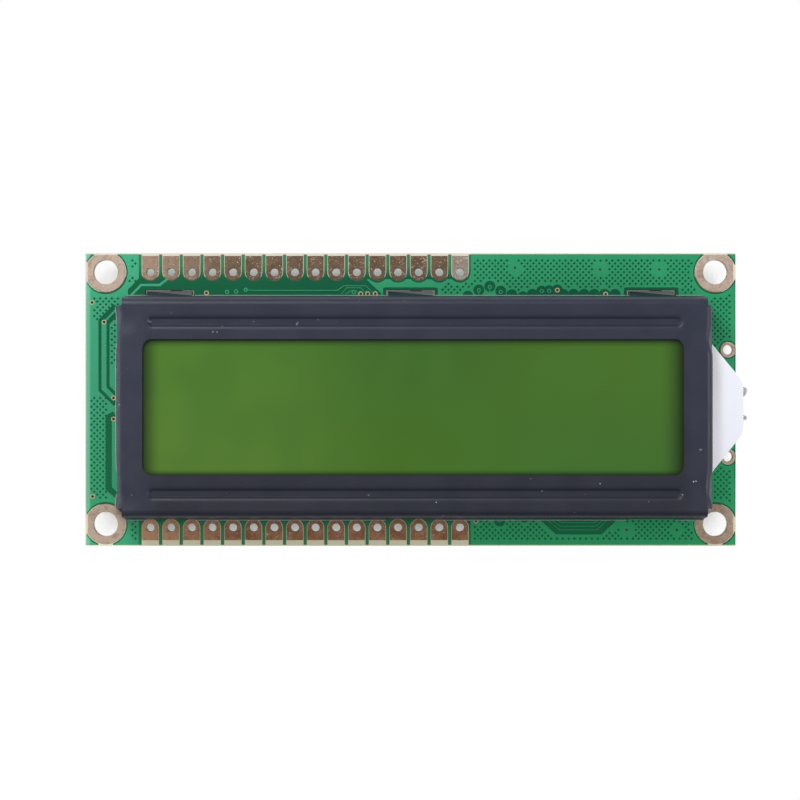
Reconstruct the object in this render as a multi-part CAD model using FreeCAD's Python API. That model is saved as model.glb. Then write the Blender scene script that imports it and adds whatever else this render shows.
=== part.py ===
import FreeCAD, Part
import math
import os

# Character display module: a circuit board, a folded steel frame clinched to it, and inside the frame
# the display glass over an edge-lit light guide.
# Millimetres. The origin is the centre of the four mounting holes on the rear face of the board,
# +X along the pin rows, +Y towards the upper pin row, +Z out of the display.

# Circuit board. Insets are measured in from its edges
board_length = 80.0
board_width = 36.0
board_thickness = 1.6
hole_inset_x = 2.5
hole_inset_top = 2.33
hole_inset_bottom = 2.67

# Plated holes: the copper lines each hole and stands as a pad round it, proud of the laminate
copper_thickness = 0.06
mounting_hole_radius = 1.5
mounting_pad_radius = 2.47
pad_edge_margin_x = 0.3  # bare laminate between a mounting pad and the sawn edge
pad_edge_margin_y = 0.2
backlight_hole_radius = 0.6
backlight_pad_radius = 0.9
backlight_pad_margin = 0.05  # from the pad to the right edge
backlight_pad_spacing = 13.16

# Pin contacts
pin_count = 16
pin_pitch = 2.54
pin_hole_radius = 0.5
pin_pad_width = 2.1
pin_pad_edge_margin = 0.25
first_pin_inset = 8.0
pin_inset_top = 2.33
pin_inset_bottom = 2.24

# Steel frame: a flat face, four flared walls that stand on the board, and tabs through it
foot_inset_left = 3.6
foot_inset_right = 3.05
foot_inset_top = 5.13
foot_inset_bottom = 3.27
sheet_thickness = 0.4
bend_radius = 0.9  # outside of the bend
long_wall_flare = 0.5  # how far a wall leans out from bend to foot
left_wall_flare = 0.8
right_wall_flare = 0.35
window_border_x = 2.45  # of the face's flat, round the window
window_border_y = 4.15
window_shift = -0.2  # the window lies a little left of the face's middle
window_corner_radius = 1.2
groove_end_inset = 2.9
groove_inset = 1.95
groove_width = 1.15
groove_floor_width = 0.55
crimp_inset = 3.35  # pinches in the left wall, which hold the stack sideways
crimp_depth = 0.45
crimp_width = 2.4
crimp_top_gap = 0.5  # from a pinch to the bend

# Tabs of the frame and the slots they pass through
slot_inset_x = 10.37  # from the board's left and right edges to the middles of the outer slots
slot_inset_top = 4.97
slot_inset_bottom = 4.21
slot_width = 0.9
tab_length = 5.5
tab_clearance = 0.25
tab_bias = 0.1  # the tabs press outwards in their slots
tab_step_height = 1.3  # height over which a tab steps from the wall to its slot
tongue_length = 3.0
tongue_reach = 1.8  # below the board
tongue_twist = 40.0

# Display stack, from the board up
reflector_thickness = 0.2
guide_thickness = 3.4
diffuser_thickness = 0.2
polariser_thickness = 0.3
glass_thickness = 1.1
glass_end_play = 0.7  # from the frame's inside to the glass
glass_side_play = 0.3
glass_ledge_width = 2.5  # of the front glass, beside the rear glass
polariser_end_inset = 1.3
polariser_rib_gap = 0.575  # from the polariser to the ribs under the grooves
guide_end_inset = 0.1
guide_side_inset = 0.2
guide_taper_start = 1.45  # how far inside the foot the sides start to slant
exit_gap = 0.2  # between the light guide and the frame's wall where it passes out
tip_overhang = 0.8  # of the light guide's tip, past the board's edge
strip_side_play = 0.25
strip_end_inset = 2.1
seal_length = 4.0
seal_bulge = 0.3

# Lamp in the tip of the light guide
lamp_rise = 0.47  # of the lamp's middle above the frame's
lamp_width = 4.6
lamp_depth = 1.8
lamp_lens_radius = 1.1
lamp_gap = 0.05
pocket_wall = 0.4  # of the light guide, over and under the lamp
tip_wall_top = 0.43  # of the light guide, at the lamp's sides
tip_wall_bottom = 1.02
lead_thickness = 0.45
lead_spacing = 3.3
lead_bend_radius = 0.5
lead_reach = 0.75  # from the tip's end face to the outside of the bend
lead_foot_length = 2.9
joint_length = 1.9
joint_width = 1.5
joint_height = 0.8
joint_crest_share = 0.45

# Pieces on the rear of the board
controller_cover_radius = 8.0
controller_cover_x = -13.0
driver_cover_radius = 7.0
driver_cover_x = 15.0
covers_rise = 1.17  # of the covers' middles above the board's
cover_height = 1.4
cover_sides = 24
cover_rim_height = 0.35
cover_shoulder_height = 1.05
cover_shoulder_inset = 1.6
cover_crown_inset = 3.6
chip_length = 2.0
chip_width = 1.25
resistor_height = 0.5
capacitor_height = 0.8
chip_cap_length = 0.4
chip_cap_proud = 0.03
resistor_inset_x = 5.5
resistor_rise = 5.7  # of the lower row above the lower pins
resistor_gap = 2.3
resistor_pitch = 2.3
resistor_columns = 4
capacitor_inset_x = 10.8
capacitor_drop = 9.5  # of the first capacitor below the upper pins
capacitor_pitch = 3.1
capacitor_count = 4

# Board: edges and places that follow from the sizes above
hole_spacing_x = board_length - 2 * hole_inset_x
hole_spacing_y = board_width - hole_inset_top - hole_inset_bottom
board_right = board_length / 2
board_left = -board_right
board_edge_top = hole_spacing_y / 2 + hole_inset_top
board_edge_bottom = board_edge_top - board_width
board_centre_y = (board_edge_top + board_edge_bottom) / 2
first_pin_x = board_left + first_pin_inset
upper_pins_y = board_edge_top - pin_inset_top
lower_pins_y = board_edge_bottom + pin_inset_bottom
slot_pitch = board_right - slot_inset_x
upper_slot_y = board_edge_top - slot_inset_top
lower_slot_y = board_edge_bottom + slot_inset_bottom

# Frame: the feet are placed on the board, and the face's flat lies between the bends
foot_left = board_left + foot_inset_left
foot_right = board_right - foot_inset_right
foot_top = board_edge_top - foot_inset_top
foot_bottom = board_edge_bottom + foot_inset_bottom
face_left = foot_left + left_wall_flare + bend_radius
face_right = foot_right - right_wall_flare - bend_radius
face_length = face_right - face_left
face_width = foot_top - foot_bottom - 2 * (long_wall_flare + bend_radius)
frame_centre_x = (face_left + face_right) / 2
frame_centre_y = (foot_bottom + foot_top) / 2
inside_length = face_length + 2 * (bend_radius - sheet_thickness)
inside_width = face_width + 2 * (bend_radius - sheet_thickness)
window_length = face_length - 2 * window_border_x
window_width = face_width - 2 * window_border_y
groove_length = face_length - 2 * groove_end_inset
groove_spacing = face_width - 2 * groove_inset
groove_depth = polariser_thickness  # the ribs under the grooves bear on the glass beside the polariser

# Levels, from the printed copper that the frame and the stack stand on
board_top = board_thickness + copper_thickness
guide_base = board_top + reflector_thickness
diffuser_base = guide_base + guide_thickness
rear_polariser_base = diffuser_base + diffuser_thickness
rear_glass_base = rear_polariser_base + polariser_thickness
front_glass_base = rear_glass_base + glass_thickness
front_polariser_base = front_glass_base + glass_thickness
face_underside = front_polariser_base + polariser_thickness  # the frame clamps the stack to the board
face_top = face_underside + sheet_thickness
frame_height = face_top - board_top
crimp_height = frame_height - bend_radius - crimp_top_gap

# Stack
glass_length = inside_length - 2 * glass_end_play
front_glass_width = inside_width - 2 * glass_side_play
rear_glass_width = front_glass_width - 2 * glass_ledge_width
polariser_length = glass_length - 2 * polariser_end_inset
polariser_width = groove_spacing - groove_width - 2 * polariser_rib_gap
strip_width = glass_ledge_width - 2 * strip_side_play
strip_length = glass_length - 2 * strip_end_inset
guide_left = face_left + guide_end_inset
guide_shoulder = foot_right - guide_taper_start
guide_tip = board_right + tip_overhang
guide_top = frame_centre_y + rear_glass_width / 2 - guide_side_inset
guide_bottom = frame_centre_y - rear_glass_width / 2 + guide_side_inset
lamp_centre_y = frame_centre_y + lamp_rise
lamp_height = guide_thickness - 2 * pocket_wall
tip_top = lamp_centre_y + lamp_width / 2 + tip_wall_top
tip_bottom = lamp_centre_y - lamp_width / 2 - tip_wall_bottom
lead_out = guide_tip + lead_reach - lead_thickness / 2  # X of a lead's middle outside the board


def vec(x, y, z=0.0):
    return FreeCAD.Vector(x, y, z)


def closed_face(edges):
    return Part.Face(Part.Wire(Part.__sortEdges__(edges)))


def line(a, b):
    return Part.LineSegment(a, b).toShape()


def arc(a, middle, b):
    return Part.Arc(a, middle, b).toShape()


def moved(shape, x=0.0, y=0.0, z=0.0):
    """A copy of the shape, moved."""
    copy = shape.copy()
    copy.translate(vec(x, y, z))
    return copy


def polygon_face(points):
    return Part.Face(Part.makePolygon(points + [points[0]]))


def ring_points(centre, radius, sides, z):
    angles = [2 * math.pi * i / sides for i in range(sides)]
    return [centre + vec(radius * math.cos(a), radius * math.sin(a), z) for a in angles]


def faceted(levels):
    """A solid of flat facets between rings of points, each ring with as many points as the next."""
    faces = [polygon_face(levels[0]), polygon_face(levels[-1])]
    count = len(levels[0])
    for low, high in zip(levels, levels[1:]):
        for i in range(count):
            j = (i + 1) % count
            faces.append(polygon_face([low[i], low[j], high[j]]))
            faces.append(polygon_face([low[i], high[j], high[i]]))
    solid = Part.Solid(Part.Shell(faces))
    if solid.Volume < 0:
        solid.reverse()
    return solid


def block(length, width, height, x, y, z):
    """A block centred on x, y with its underside at z."""
    return Part.makeBox(length, width, height, vec(x - length / 2, y - width / 2, z))


def export(name, shape):
    if shape.ShapeType == "Compound" and len(shape.Solids) == 1:
        shape = shape.Solids[0]
    os.makedirs("parts", exist_ok=True)
    shape.exportStep("parts/" + name + ".step")
    print(name, "solids", len(shape.Solids), "volume", round(shape.Volume, 3), "valid", shape.isValid())


# Places of what repeats

def mounting_holes():
    return [
        (sx * hole_spacing_x / 2, sy * hole_spacing_y / 2)
        for sx in (-1, 1)
        for sy in (-1, 1)
    ]


def pin_places(row_y):
    return [(first_pin_x + i * pin_pitch, row_y) for i in range(pin_count)]


def backlight_holes():
    x = board_right - backlight_pad_margin - backlight_pad_radius
    return [(x, lamp_centre_y + s * backlight_pad_spacing / 2) for s in (-1, 1)]


def slot_places():
    return [-slot_pitch, 0.0, slot_pitch]


# Circuit board

def round_pad_face(x, y, radius):
    return Part.Face(Part.Wire(Part.makeCircle(radius, vec(x, y, 0))))


def clipped_pad_face(x, y, radius):
    """A round pad cut back to the bare margin along the board's edges."""
    inside = block(
        board_length - 2 * pad_edge_margin_x,
        board_width - 2 * pad_edge_margin_y,
        board_thickness,
        0,
        board_centre_y,
        -board_thickness / 2,
    )
    return round_pad_face(x, y, radius).common(inside).Faces[0]


def pin_pad_face(x, y, edge_y):
    """A pad rounded about its hole at the inner end and square at the board's edge."""
    r = pin_pad_width / 2
    out = 1 if edge_y > y else -1
    end_y = edge_y - out * pin_pad_edge_margin
    inner = Part.Arc(vec(x - r, y), vec(x, y - out * r), vec(x + r, y)).toShape()
    return closed_face(
        [
            inner,
            line(vec(x + r, y), vec(x + r, end_y)),
            line(vec(x + r, end_y), vec(x - r, end_y)),
            line(vec(x - r, end_y), vec(x - r, y)),
        ]
    )


def drill(x, y, radius):
    depth = board_thickness + 4 * copper_thickness
    return Part.makeCylinder(radius, depth, vec(x, y, -2 * copper_thickness))


def circuit_board():
    """Laminate with its plated holes, the pads that stand round them and the slots for the tabs."""
    board = block(board_length, board_width, board_thickness, 0, board_centre_y, 0)
    front = []
    rear = []
    cuts = []
    for x, y in mounting_holes():
        front.append(clipped_pad_face(x, y, mounting_pad_radius))
        rear.append(clipped_pad_face(x, y, mounting_pad_radius))
        cuts.append(drill(x, y, mounting_hole_radius))
    for x, y in backlight_holes():
        front.append(round_pad_face(x, y, backlight_pad_radius))
        cuts.append(drill(x, y, backlight_hole_radius))
    for row_y, edge_y in ((upper_pins_y, board_edge_top), (lower_pins_y, board_edge_bottom)):
        for x, y in pin_places(row_y):
            front.append(pin_pad_face(x, y, edge_y))
            cuts.append(drill(x, y, pin_hole_radius))
    pads = []
    for face in front:
        pad = face.extrude(vec(0, 0, copper_thickness))
        pad.translate(vec(0, 0, board_thickness))
        pads.append(pad)
    pads += [face.extrude(vec(0, 0, -copper_thickness)) for face in rear]
    slot_length = tab_length + 2 * tab_clearance
    for x in slot_places():
        for y in (upper_slot_y, lower_slot_y):
            cuts.append(block(slot_length, slot_width, board_thickness, x, y, 0))
    return board.fuse(pads).cut(Part.makeCompound(cuts))


# Steel frame, drawn about its own centre and moved to its place at the end

def lean_of(flare):
    """The angle at which a wall leans out."""
    return math.atan2(flare, frame_height - bend_radius)


def wall_section(flare):
    """Section of a bend and its flared wall in the YZ plane, for a face whose flat ends at Y = 0."""
    t = sheet_thickness
    centre = vec(0, 0, face_top - bend_radius)
    turn = math.pi / 2 - lean_of(flare)

    def on_bend(radius, angle):
        return centre + vec(0, radius * math.sin(angle), radius * math.cos(angle))

    inner_radius = bend_radius - t
    outer_end = on_bend(bend_radius, turn)
    inner_end = on_bend(inner_radius, turn)

    def foot_below(start):
        drop = start.z - board_top
        return vec(0, start.y + drop * math.tan(lean_of(flare)), board_top)

    return closed_face(
        [
            arc(on_bend(bend_radius, 0), on_bend(bend_radius, turn / 2), outer_end),
            line(outer_end, foot_below(outer_end)),
            line(foot_below(outer_end), foot_below(inner_end)),
            line(foot_below(inner_end), inner_end),
            arc(inner_end, on_bend(inner_radius, turn / 2), on_bend(inner_radius, 0)),
            line(on_bend(inner_radius, 0), on_bend(bend_radius, 0)),
        ]
    )


def wall(length, flare):
    """A wall along X, leaning out towards +Y from the line Y = 0."""
    return moved(wall_section(flare), -length / 2).extrude(vec(length, 0, 0))


def placed(shape, turn, offset):
    """A wall drawn towards +Y, pushed out to its edge of the face and turned to its side."""
    shape = moved(shape, 0, offset)
    shape.rotate(vec(0, 0, 0), vec(0, 0, 1), turn)
    return shape


def groove_prism(half, top_z):
    """A long trough with sloping sides, along X."""
    floor_z = top_z - groove_depth
    section = polygon_face(
        [
            vec(-half, -groove_width / 2, top_z),
            vec(-half, groove_width / 2, top_z),
            vec(-half, groove_floor_width / 2, floor_z),
            vec(-half, -groove_floor_width / 2, floor_z),
        ]
    )
    return section.extrude(vec(2 * half, 0, 0))


def groove_trough():
    half = (groove_length - groove_width) / 2
    floor_z = face_top - groove_depth
    ends = [
        Part.makeCone(groove_floor_width / 2, groove_width / 2, groove_depth, vec(s * half, 0, floor_z))
        for s in (-1, 1)
    ]
    return groove_prism(half, face_top).fuse(ends)


def rounded_window():
    cut = block(window_length, window_width, frame_height, window_shift, 0, face_top - frame_height / 2)
    upright = [e for e in cut.Edges if abs(e.Vertexes[0].Z - e.Vertexes[1].Z) > sheet_thickness]
    return cut.makeFillet(window_corner_radius, upright)


def frame_face():
    face = block(face_length, face_width, sheet_thickness, 0, 0, face_underside)
    face = face.cut(rounded_window())
    rib = groove_prism(groove_length / 2, face_underside)
    for y in (-groove_spacing / 2, groove_spacing / 2):
        face = face.fuse(moved(rib, 0, y)).cut(moved(groove_trough(), 0, y))
    return face


def crimp_cone(extra):
    """A cone that stands outside the wall, leaning with it, widest at the foot where it bites deepest."""
    half = crimp_width / 2
    foot_radius = (half**2 + crimp_depth**2) / (2 * crimp_depth)
    top_radius = foot_radius - crimp_depth
    cone = Part.makeCone(foot_radius + extra, top_radius + extra, crimp_height)
    cone.rotate(vec(0, 0, 0), vec(1, 0, 0), math.degrees(lean_of(left_wall_flare)))
    return moved(cone, 0, bend_radius + left_wall_flare + foot_radius - crimp_depth, board_top)


def crimped_wall(length):
    """The short wall with its two pinches: pressed in from outside, with the sheet's thickness kept."""
    sheet = wall(length, left_wall_flare)
    depth = 2 * (bend_radius + left_wall_flare)
    inside = block(length, depth, frame_height, 0, -sheet_thickness / 2, board_top)
    for x in (crimp_inset - length / 2, length / 2 - crimp_inset):
        pressed_in = moved(crimp_cone(sheet_thickness), x).common(inside)
        sheet = sheet.fuse(pressed_in).cut(moved(crimp_cone(0), x))
    return sheet


def tab(side):
    """A tab at X = 0 of a wall whose bend line is Y = 0: it steps to its slot above the board, goes
    through, and ends in a twisted tongue."""
    t = sheet_thickness
    lean = lean_of(long_wall_flare)
    slant_t = t / math.cos(lean)
    root_z = board_top + tab_step_height
    root_y = bend_radius + long_wall_flare - tab_step_height * math.tan(lean)
    bend_line_y = frame_centre_y + side * face_width / 2
    slot_y = upper_slot_y if side > 0 else lower_slot_y
    through_y = side * (slot_y - bend_line_y) + tab_bias  # the tab's middle in its slot
    outer_y = through_y + t / 2
    inner_y = through_y - t / 2
    start = -tab_length / 2
    profile = polygon_face(
        [
            vec(start, root_y, root_z),
            vec(start, outer_y, board_top),
            vec(start, outer_y, 0),
            vec(start, inner_y, 0),
            vec(start, inner_y, board_top),
            vec(start, root_y - slant_t, root_z),
        ]
    )
    plate = profile.extrude(vec(tab_length, 0, 0))
    half = tongue_length / 2
    corners = [(-half, inner_y), (half, inner_y), (half, outer_y), (-half, outer_y)]
    straight = [vec(x, y, 0) for x, y in corners]
    middle = vec(0, through_y, 0)
    twist = FreeCAD.Rotation(vec(0, 0, 1), tongue_twist)
    turned = [middle + twist.multVec(point - middle) - vec(0, 0, tongue_reach) for point in straight]
    return plate.fuse(faceted([straight, turned]))


def tabbed_wall(side):
    """A long wall with a gap cut for each tab, and the tabs in the gaps."""
    sheet = wall(face_length, long_wall_flare)
    gap = block(tab_length + 2 * tab_clearance, 2 * frame_height, tab_step_height, 0, 0, board_top)
    one_tab = tab(side)
    for slot_x in slot_places():
        x = side * (slot_x - frame_centre_x)
        sheet = sheet.cut(moved(gap, x)).fuse(moved(one_tab, x))
    return sheet


def guide_exit():
    """The gap in the right wall that the light guide passes through."""
    inner_x = frame_centre_x + inside_length / 2
    low = slant_y_at(inner_x, -1) - exit_gap
    high = slant_y_at(inner_x, 1) + exit_gap
    height = diffuser_base + diffuser_thickness + exit_gap - board_top
    return Part.makeBox(frame_height, high - low, height, vec(face_right, low, board_top))


def front_frame():
    body = frame_face()
    body = body.fuse(placed(tabbed_wall(1), 0, face_width / 2))
    body = body.fuse(placed(tabbed_wall(-1), 180, face_width / 2))
    body = body.fuse(placed(crimped_wall(face_width), 90, face_length / 2))
    right = placed(wall(face_width, right_wall_flare), -90, face_length / 2)
    body = moved(body.fuse(right), frame_centre_x, frame_centre_y)
    return body.cut(guide_exit()).removeSplitter()


# Light guide and what lies with it

def guide_outline():
    """Plan of the light guide: a plate whose right end tapers to the lamp."""
    return [
        vec(guide_left, guide_bottom),
        vec(guide_shoulder, guide_bottom),
        vec(guide_tip, tip_bottom),
        vec(guide_tip, tip_top),
        vec(guide_shoulder, guide_top),
        vec(guide_left, guide_top),
    ]


def slant_y_at(x, side):
    """Y of the tapered end's upper (side 1) or lower (side -1) edge at this X."""
    start_y, end_y = (guide_top, tip_top) if side > 0 else (guide_bottom, tip_bottom)
    share = max(0, (x - guide_shoulder) / (guide_tip - guide_shoulder))
    return start_y + share * (end_y - start_y)


def guide_plate(base, thickness):
    return moved(polygon_face(guide_outline()), 0, 0, base).extrude(vec(0, 0, thickness))


def lamp_shape(grow):
    """The lamp's block with its round lens towards the guide; grow gives the pocket it sits in."""
    height = lamp_height + 2 * grow
    base = guide_base + (guide_thickness - height) / 2
    inner_x = guide_tip - lamp_depth - grow
    body = Part.makeBox(
        guide_tip - inner_x,
        lamp_width + 2 * grow,
        height,
        vec(inner_x, lamp_centre_y - lamp_width / 2 - grow, base),
    )
    lens = Part.makeCylinder(lamp_lens_radius + grow, height, vec(inner_x + grow, lamp_centre_y, base))
    return body.fuse(lens).removeSplitter()


def light_guide():
    return guide_plate(guide_base, guide_thickness).cut(lamp_shape(lamp_gap))


def reflector_film():
    return guide_plate(board_top, reflector_thickness)


def tip_cover_film():
    """Film over the part of the guide that stands out of the frame."""
    film = guide_plate(diffuser_base, diffuser_thickness)
    start = frame_centre_x + polariser_length / 2 + exit_gap
    keep = block(board_length, board_width, face_top, start + board_length / 2, 0, 0)
    return film.common(keep)


def contact_strip(side):
    """An elastomer strip that stands on the board and bears on a ledge of the front glass."""
    y = frame_centre_y + side * (rear_glass_width + glass_ledge_width) / 2
    return block(strip_length, strip_width, front_glass_base - board_top, frame_centre_x, y, board_top)


def fill_port_seal():
    """A dab of cured resin on the left edge of the cell, over the joint of the two glasses."""
    x = frame_centre_x - glass_length / 2
    low = vec(x, frame_centre_y - seal_length / 2)
    high = vec(x, frame_centre_y + seal_length / 2)
    outline = closed_face([arc(low, vec(x - seal_bulge, frame_centre_y), high), line(high, low)])
    return moved(outline, 0, 0, front_glass_base - glass_thickness / 2).extrude(vec(0, 0, glass_thickness))


def lamp_lead(side):
    """A square lead: out of the tip, down past the board's edge and back under it to the rear."""
    t = lead_thickness
    y = lamp_centre_y + side * lead_spacing / 2
    top_z = guide_base + guide_thickness / 2
    foot_z = -copper_thickness - t / 2
    r = lead_bend_radius
    k = r * (1 - math.sqrt(0.5))
    bend_start = vec(lead_out - r, y, top_z)
    bend_end = vec(lead_out, y, top_z - r)
    turn_start = vec(lead_out, y, foot_z + r)
    turn_end = vec(lead_out - r, y, foot_z)
    start = vec(guide_tip, y, top_z)
    path = Part.Wire(
        [
            line(start, bend_start),
            arc(bend_start, vec(lead_out - k, y, top_z - k), bend_end),
            line(bend_end, turn_start),
            arc(turn_start, vec(lead_out - k, y, foot_z + k), turn_end),
            line(turn_end, vec(lead_out - lead_foot_length, y, foot_z)),
        ]
    )
    corners = [(-t / 2, -t / 2), (t / 2, -t / 2), (t / 2, t / 2), (-t / 2, t / 2), (-t / 2, -t / 2)]
    section = Part.makePolygon([start + vec(0, across, up) for across, up in corners])
    return path.makePipeShell([section], True, False)


def lamp_solder_joints(leads):
    """Solder humped over the end of each lead on the rear of the board."""
    joints = []
    x = lead_out - lead_foot_length + joint_length / 2 - lead_thickness
    for side in (-1, 1):
        y = lamp_centre_y + side * lead_spacing / 2
        hump = block(joint_length, joint_width, joint_height, x, y, -joint_height)
        pad = hump.Faces[5].OuterWire
        crest = pad.copy()
        crest.scale(joint_crest_share, vec(x, y, 0))
        joints.append(Part.makeLoft([pad, moved(crest, 0, 0, -joint_height)], True, True).cut(leads))
    return Part.makeCompound(joints)


# Pieces on the rear

def chip_cover(x, radius):
    """A drop of black resin that has set over a bare chip: a steep rim, a shoulder and a flat crown."""
    centre = vec(x, board_centre_y + covers_rise, 0)
    return faceted(
        [
            ring_points(centre, radius, cover_sides, 0),
            ring_points(centre, radius - cover_rim_height, cover_sides, -cover_rim_height),
            ring_points(centre, radius - cover_shoulder_inset, cover_sides, -cover_shoulder_height),
            ring_points(centre, radius - cover_crown_inset, cover_sides, -cover_height),
        ]
    )


def chip(x, y, height):
    """A chip part on the rear, long way along Y, with end caps a little proud of its body."""
    body = block(chip_width, chip_length, height, x, y, -height)
    for side in (-1, 1):
        cap_y = y + side * (chip_length - chip_cap_length) / 2
        cap = block(
            chip_width + 2 * chip_cap_proud,
            chip_cap_length,
            height + chip_cap_proud,
            x,
            cap_y,
            -height - chip_cap_proud,
        )
        body = body.fuse(cap)
    return body.removeSplitter()


def main():
    export("circuit_board", circuit_board())
    export("front_frame", front_frame())

    sheets = {
        "front_polariser": (polariser_length, polariser_width, polariser_thickness, front_polariser_base),
        "front_glass": (glass_length, front_glass_width, glass_thickness, front_glass_base),
        "rear_glass": (glass_length, rear_glass_width, glass_thickness, rear_glass_base),
        "rear_polariser": (polariser_length, polariser_width, polariser_thickness, rear_polariser_base),
        "diffuser_sheet": (polariser_length, polariser_width, diffuser_thickness, diffuser_base),
    }
    for name, (length, width, thickness, base) in sheets.items():
        export(name, block(length, width, thickness, frame_centre_x, frame_centre_y, base))
    export("fill_port_seal", fill_port_seal())
    export("upper_contact_strip", contact_strip(1))
    export("lower_contact_strip", contact_strip(-1))
    export("light_guide", light_guide())
    export("reflector_film", reflector_film())
    export("tip_cover_film", tip_cover_film())

    export("backlight_lamp", lamp_shape(0))
    leads = {"lower_lamp_lead": lamp_lead(-1), "upper_lamp_lead": lamp_lead(1)}
    for name, lead in leads.items():
        export(name, lead)
    export("lamp_solder_joints", lamp_solder_joints(list(leads.values())))

    export("controller_cover", chip_cover(controller_cover_x, controller_cover_radius))
    export("driver_cover", chip_cover(driver_cover_x, driver_cover_radius))
    for i in range(2 * resistor_columns):
        column = i % resistor_columns
        x = board_right - resistor_inset_x - (resistor_columns - 1 - column) * resistor_pitch
        y = lower_pins_y + resistor_rise + (i // resistor_columns) * (chip_length + resistor_gap)
        export("chip_resistor_%d" % (i + 1), chip(x, y, resistor_height))
    for i in range(capacitor_count):
        y = upper_pins_y - capacitor_drop - i * capacitor_pitch
        export("chip_capacitor_%d" % (i + 1), chip(board_left + capacitor_inset_x, y, capacitor_height))


main()
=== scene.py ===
# %% [markdown]
# A character display module, dressed for a photograph.
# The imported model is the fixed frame: every piece below takes its place and size from it, in metres.

# %% Load the frame
import math

import bmesh
import bpy
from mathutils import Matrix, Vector


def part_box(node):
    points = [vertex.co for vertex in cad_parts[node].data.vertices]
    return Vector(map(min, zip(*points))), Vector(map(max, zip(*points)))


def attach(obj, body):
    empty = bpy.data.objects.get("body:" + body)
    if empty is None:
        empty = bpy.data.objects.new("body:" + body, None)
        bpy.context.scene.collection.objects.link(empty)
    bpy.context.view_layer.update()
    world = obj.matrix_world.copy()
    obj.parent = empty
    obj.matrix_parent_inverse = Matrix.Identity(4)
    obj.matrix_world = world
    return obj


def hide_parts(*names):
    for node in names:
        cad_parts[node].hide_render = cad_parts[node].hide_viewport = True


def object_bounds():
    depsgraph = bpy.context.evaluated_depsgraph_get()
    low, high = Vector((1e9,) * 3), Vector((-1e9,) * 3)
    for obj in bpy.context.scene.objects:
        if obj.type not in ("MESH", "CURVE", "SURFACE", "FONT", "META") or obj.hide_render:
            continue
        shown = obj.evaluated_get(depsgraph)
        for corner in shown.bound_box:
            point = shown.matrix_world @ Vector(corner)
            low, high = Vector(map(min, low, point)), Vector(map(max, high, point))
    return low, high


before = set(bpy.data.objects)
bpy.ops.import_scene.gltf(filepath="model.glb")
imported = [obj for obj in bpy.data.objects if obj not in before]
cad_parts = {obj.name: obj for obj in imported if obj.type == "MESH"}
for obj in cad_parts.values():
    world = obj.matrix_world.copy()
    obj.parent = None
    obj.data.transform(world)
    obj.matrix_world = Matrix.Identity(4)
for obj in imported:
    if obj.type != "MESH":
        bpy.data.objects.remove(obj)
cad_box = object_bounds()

mm = 0.001
merge_distance = 0.002 * mm
print("nodes", len(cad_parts), "box in mm", [[round(v / mm, 2) for v in corner] for corner in cad_box])

# %% [markdown]
# The sizes that scene and model share are read from the nodes' boxes. The rest are the board's own
# standard distances: pins are 2.54 mm apart and the mounting holes 75 x 31 mm.

# %% Shared sizes, in mm
def box_mm(node):
    low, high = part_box(node)
    return [v / mm for v in low], [v / mm for v in high]


board_low, board_high = box_mm("circuit_board")
laminate_top = 1.6
copper_top = board_high[2]
left, right = board_low[0], board_high[0]
bottom, top = board_low[1], board_high[1]
hole_x, hole_y = 37.5, 15.5
pin_pitch = 2.54
pin_count = 16
first_pin_x = left + 8.0
upper_pins_y = top - 2.33
lower_pins_y = bottom + 2.24
pins_x = [first_pin_x + i * pin_pitch for i in range(pin_count)]
slot_x = [-29.63, 0.0, 29.63]
upper_slot_y = top - 4.97
lower_slot_y = bottom + 4.21
slot_length, slot_width = 6.0, 0.9
lamp_low, lamp_high = box_mm("backlight_lamp")
lamp_y = (lamp_low[1] + lamp_high[1]) / 2
contact_x = right - 0.95
contact_reach = 6.58
contacts_y = [lamp_y + side * contact_reach for side in (-1, 1)]
print("board", left, right, bottom, top, "lamp at y", round(lamp_y, 2))

# %% [markdown]
# Modelling helpers. An operator acts on all that is selected, and loading leaves the nodes selected,
# so each helper first leaves nothing selected but its own object.

# %% Selecting and finishing objects
def linked(name, data):
    """A new object with this data, linked to the scene."""
    piece = bpy.data.objects.new(name, data)
    bpy.context.scene.collection.objects.link(piece)
    return piece


def copy_of_node(name, node):
    return linked(name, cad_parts[node].data.copy())


def only(piece):
    """Makes the piece the one selected and active object."""
    if bpy.context.object and bpy.context.object.mode == "EDIT":
        bpy.ops.object.mode_set(mode="OBJECT")
    bpy.ops.object.select_all(action="DESELECT")
    bpy.context.view_layer.objects.active = piece
    piece.select_set(True)
    return piece


def settle(piece):
    """Puts the piece's place into its mesh and leaves its object at the origin."""
    only(piece)
    bpy.ops.object.transform_apply(location=True, rotation=True, scale=True)
    return piece


def edit(piece, mode="FACE", action="DESELECT"):
    """Opens the piece in edit mode with nothing selected, or with all."""
    only(piece)
    bpy.ops.object.mode_set(mode="EDIT")
    bpy.ops.mesh.select_mode(type=mode)
    bpy.ops.mesh.select_all(action=action)


def close():
    bpy.ops.object.mode_set(mode="OBJECT")


def outward(piece):
    """Merges doubles and turns all faces outwards."""
    edit(piece, action="SELECT")
    bpy.ops.mesh.remove_doubles(threshold=merge_distance)
    bpy.ops.mesh.normals_make_consistent(inside=False)
    close()
    return piece


def modify(piece, kind, **settings):
    """Adds one modifier and applies it."""
    only(piece)
    modifier = piece.modifiers.new(kind.lower(), kind)
    for name, value in settings.items():
        setattr(modifier, name, value)
    bpy.ops.object.modifier_apply(modifier=modifier.name)
    return piece


def shade(piece, angle):
    """Shades all smooth but the edges that are sharper than this angle."""
    only(piece)
    bpy.ops.object.shade_smooth_by_angle(angle=math.radians(angle))
    return piece


def soften(piece, width, segments=2, angle=35):
    """Rounds the sharp edges and shades the rest smooth."""
    modify(piece, "BEVEL", width=width * mm, segments=segments, limit_method="ANGLE",
           angle_limit=math.radians(angle), harden_normals=False)
    return shade(piece, angle)


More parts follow.
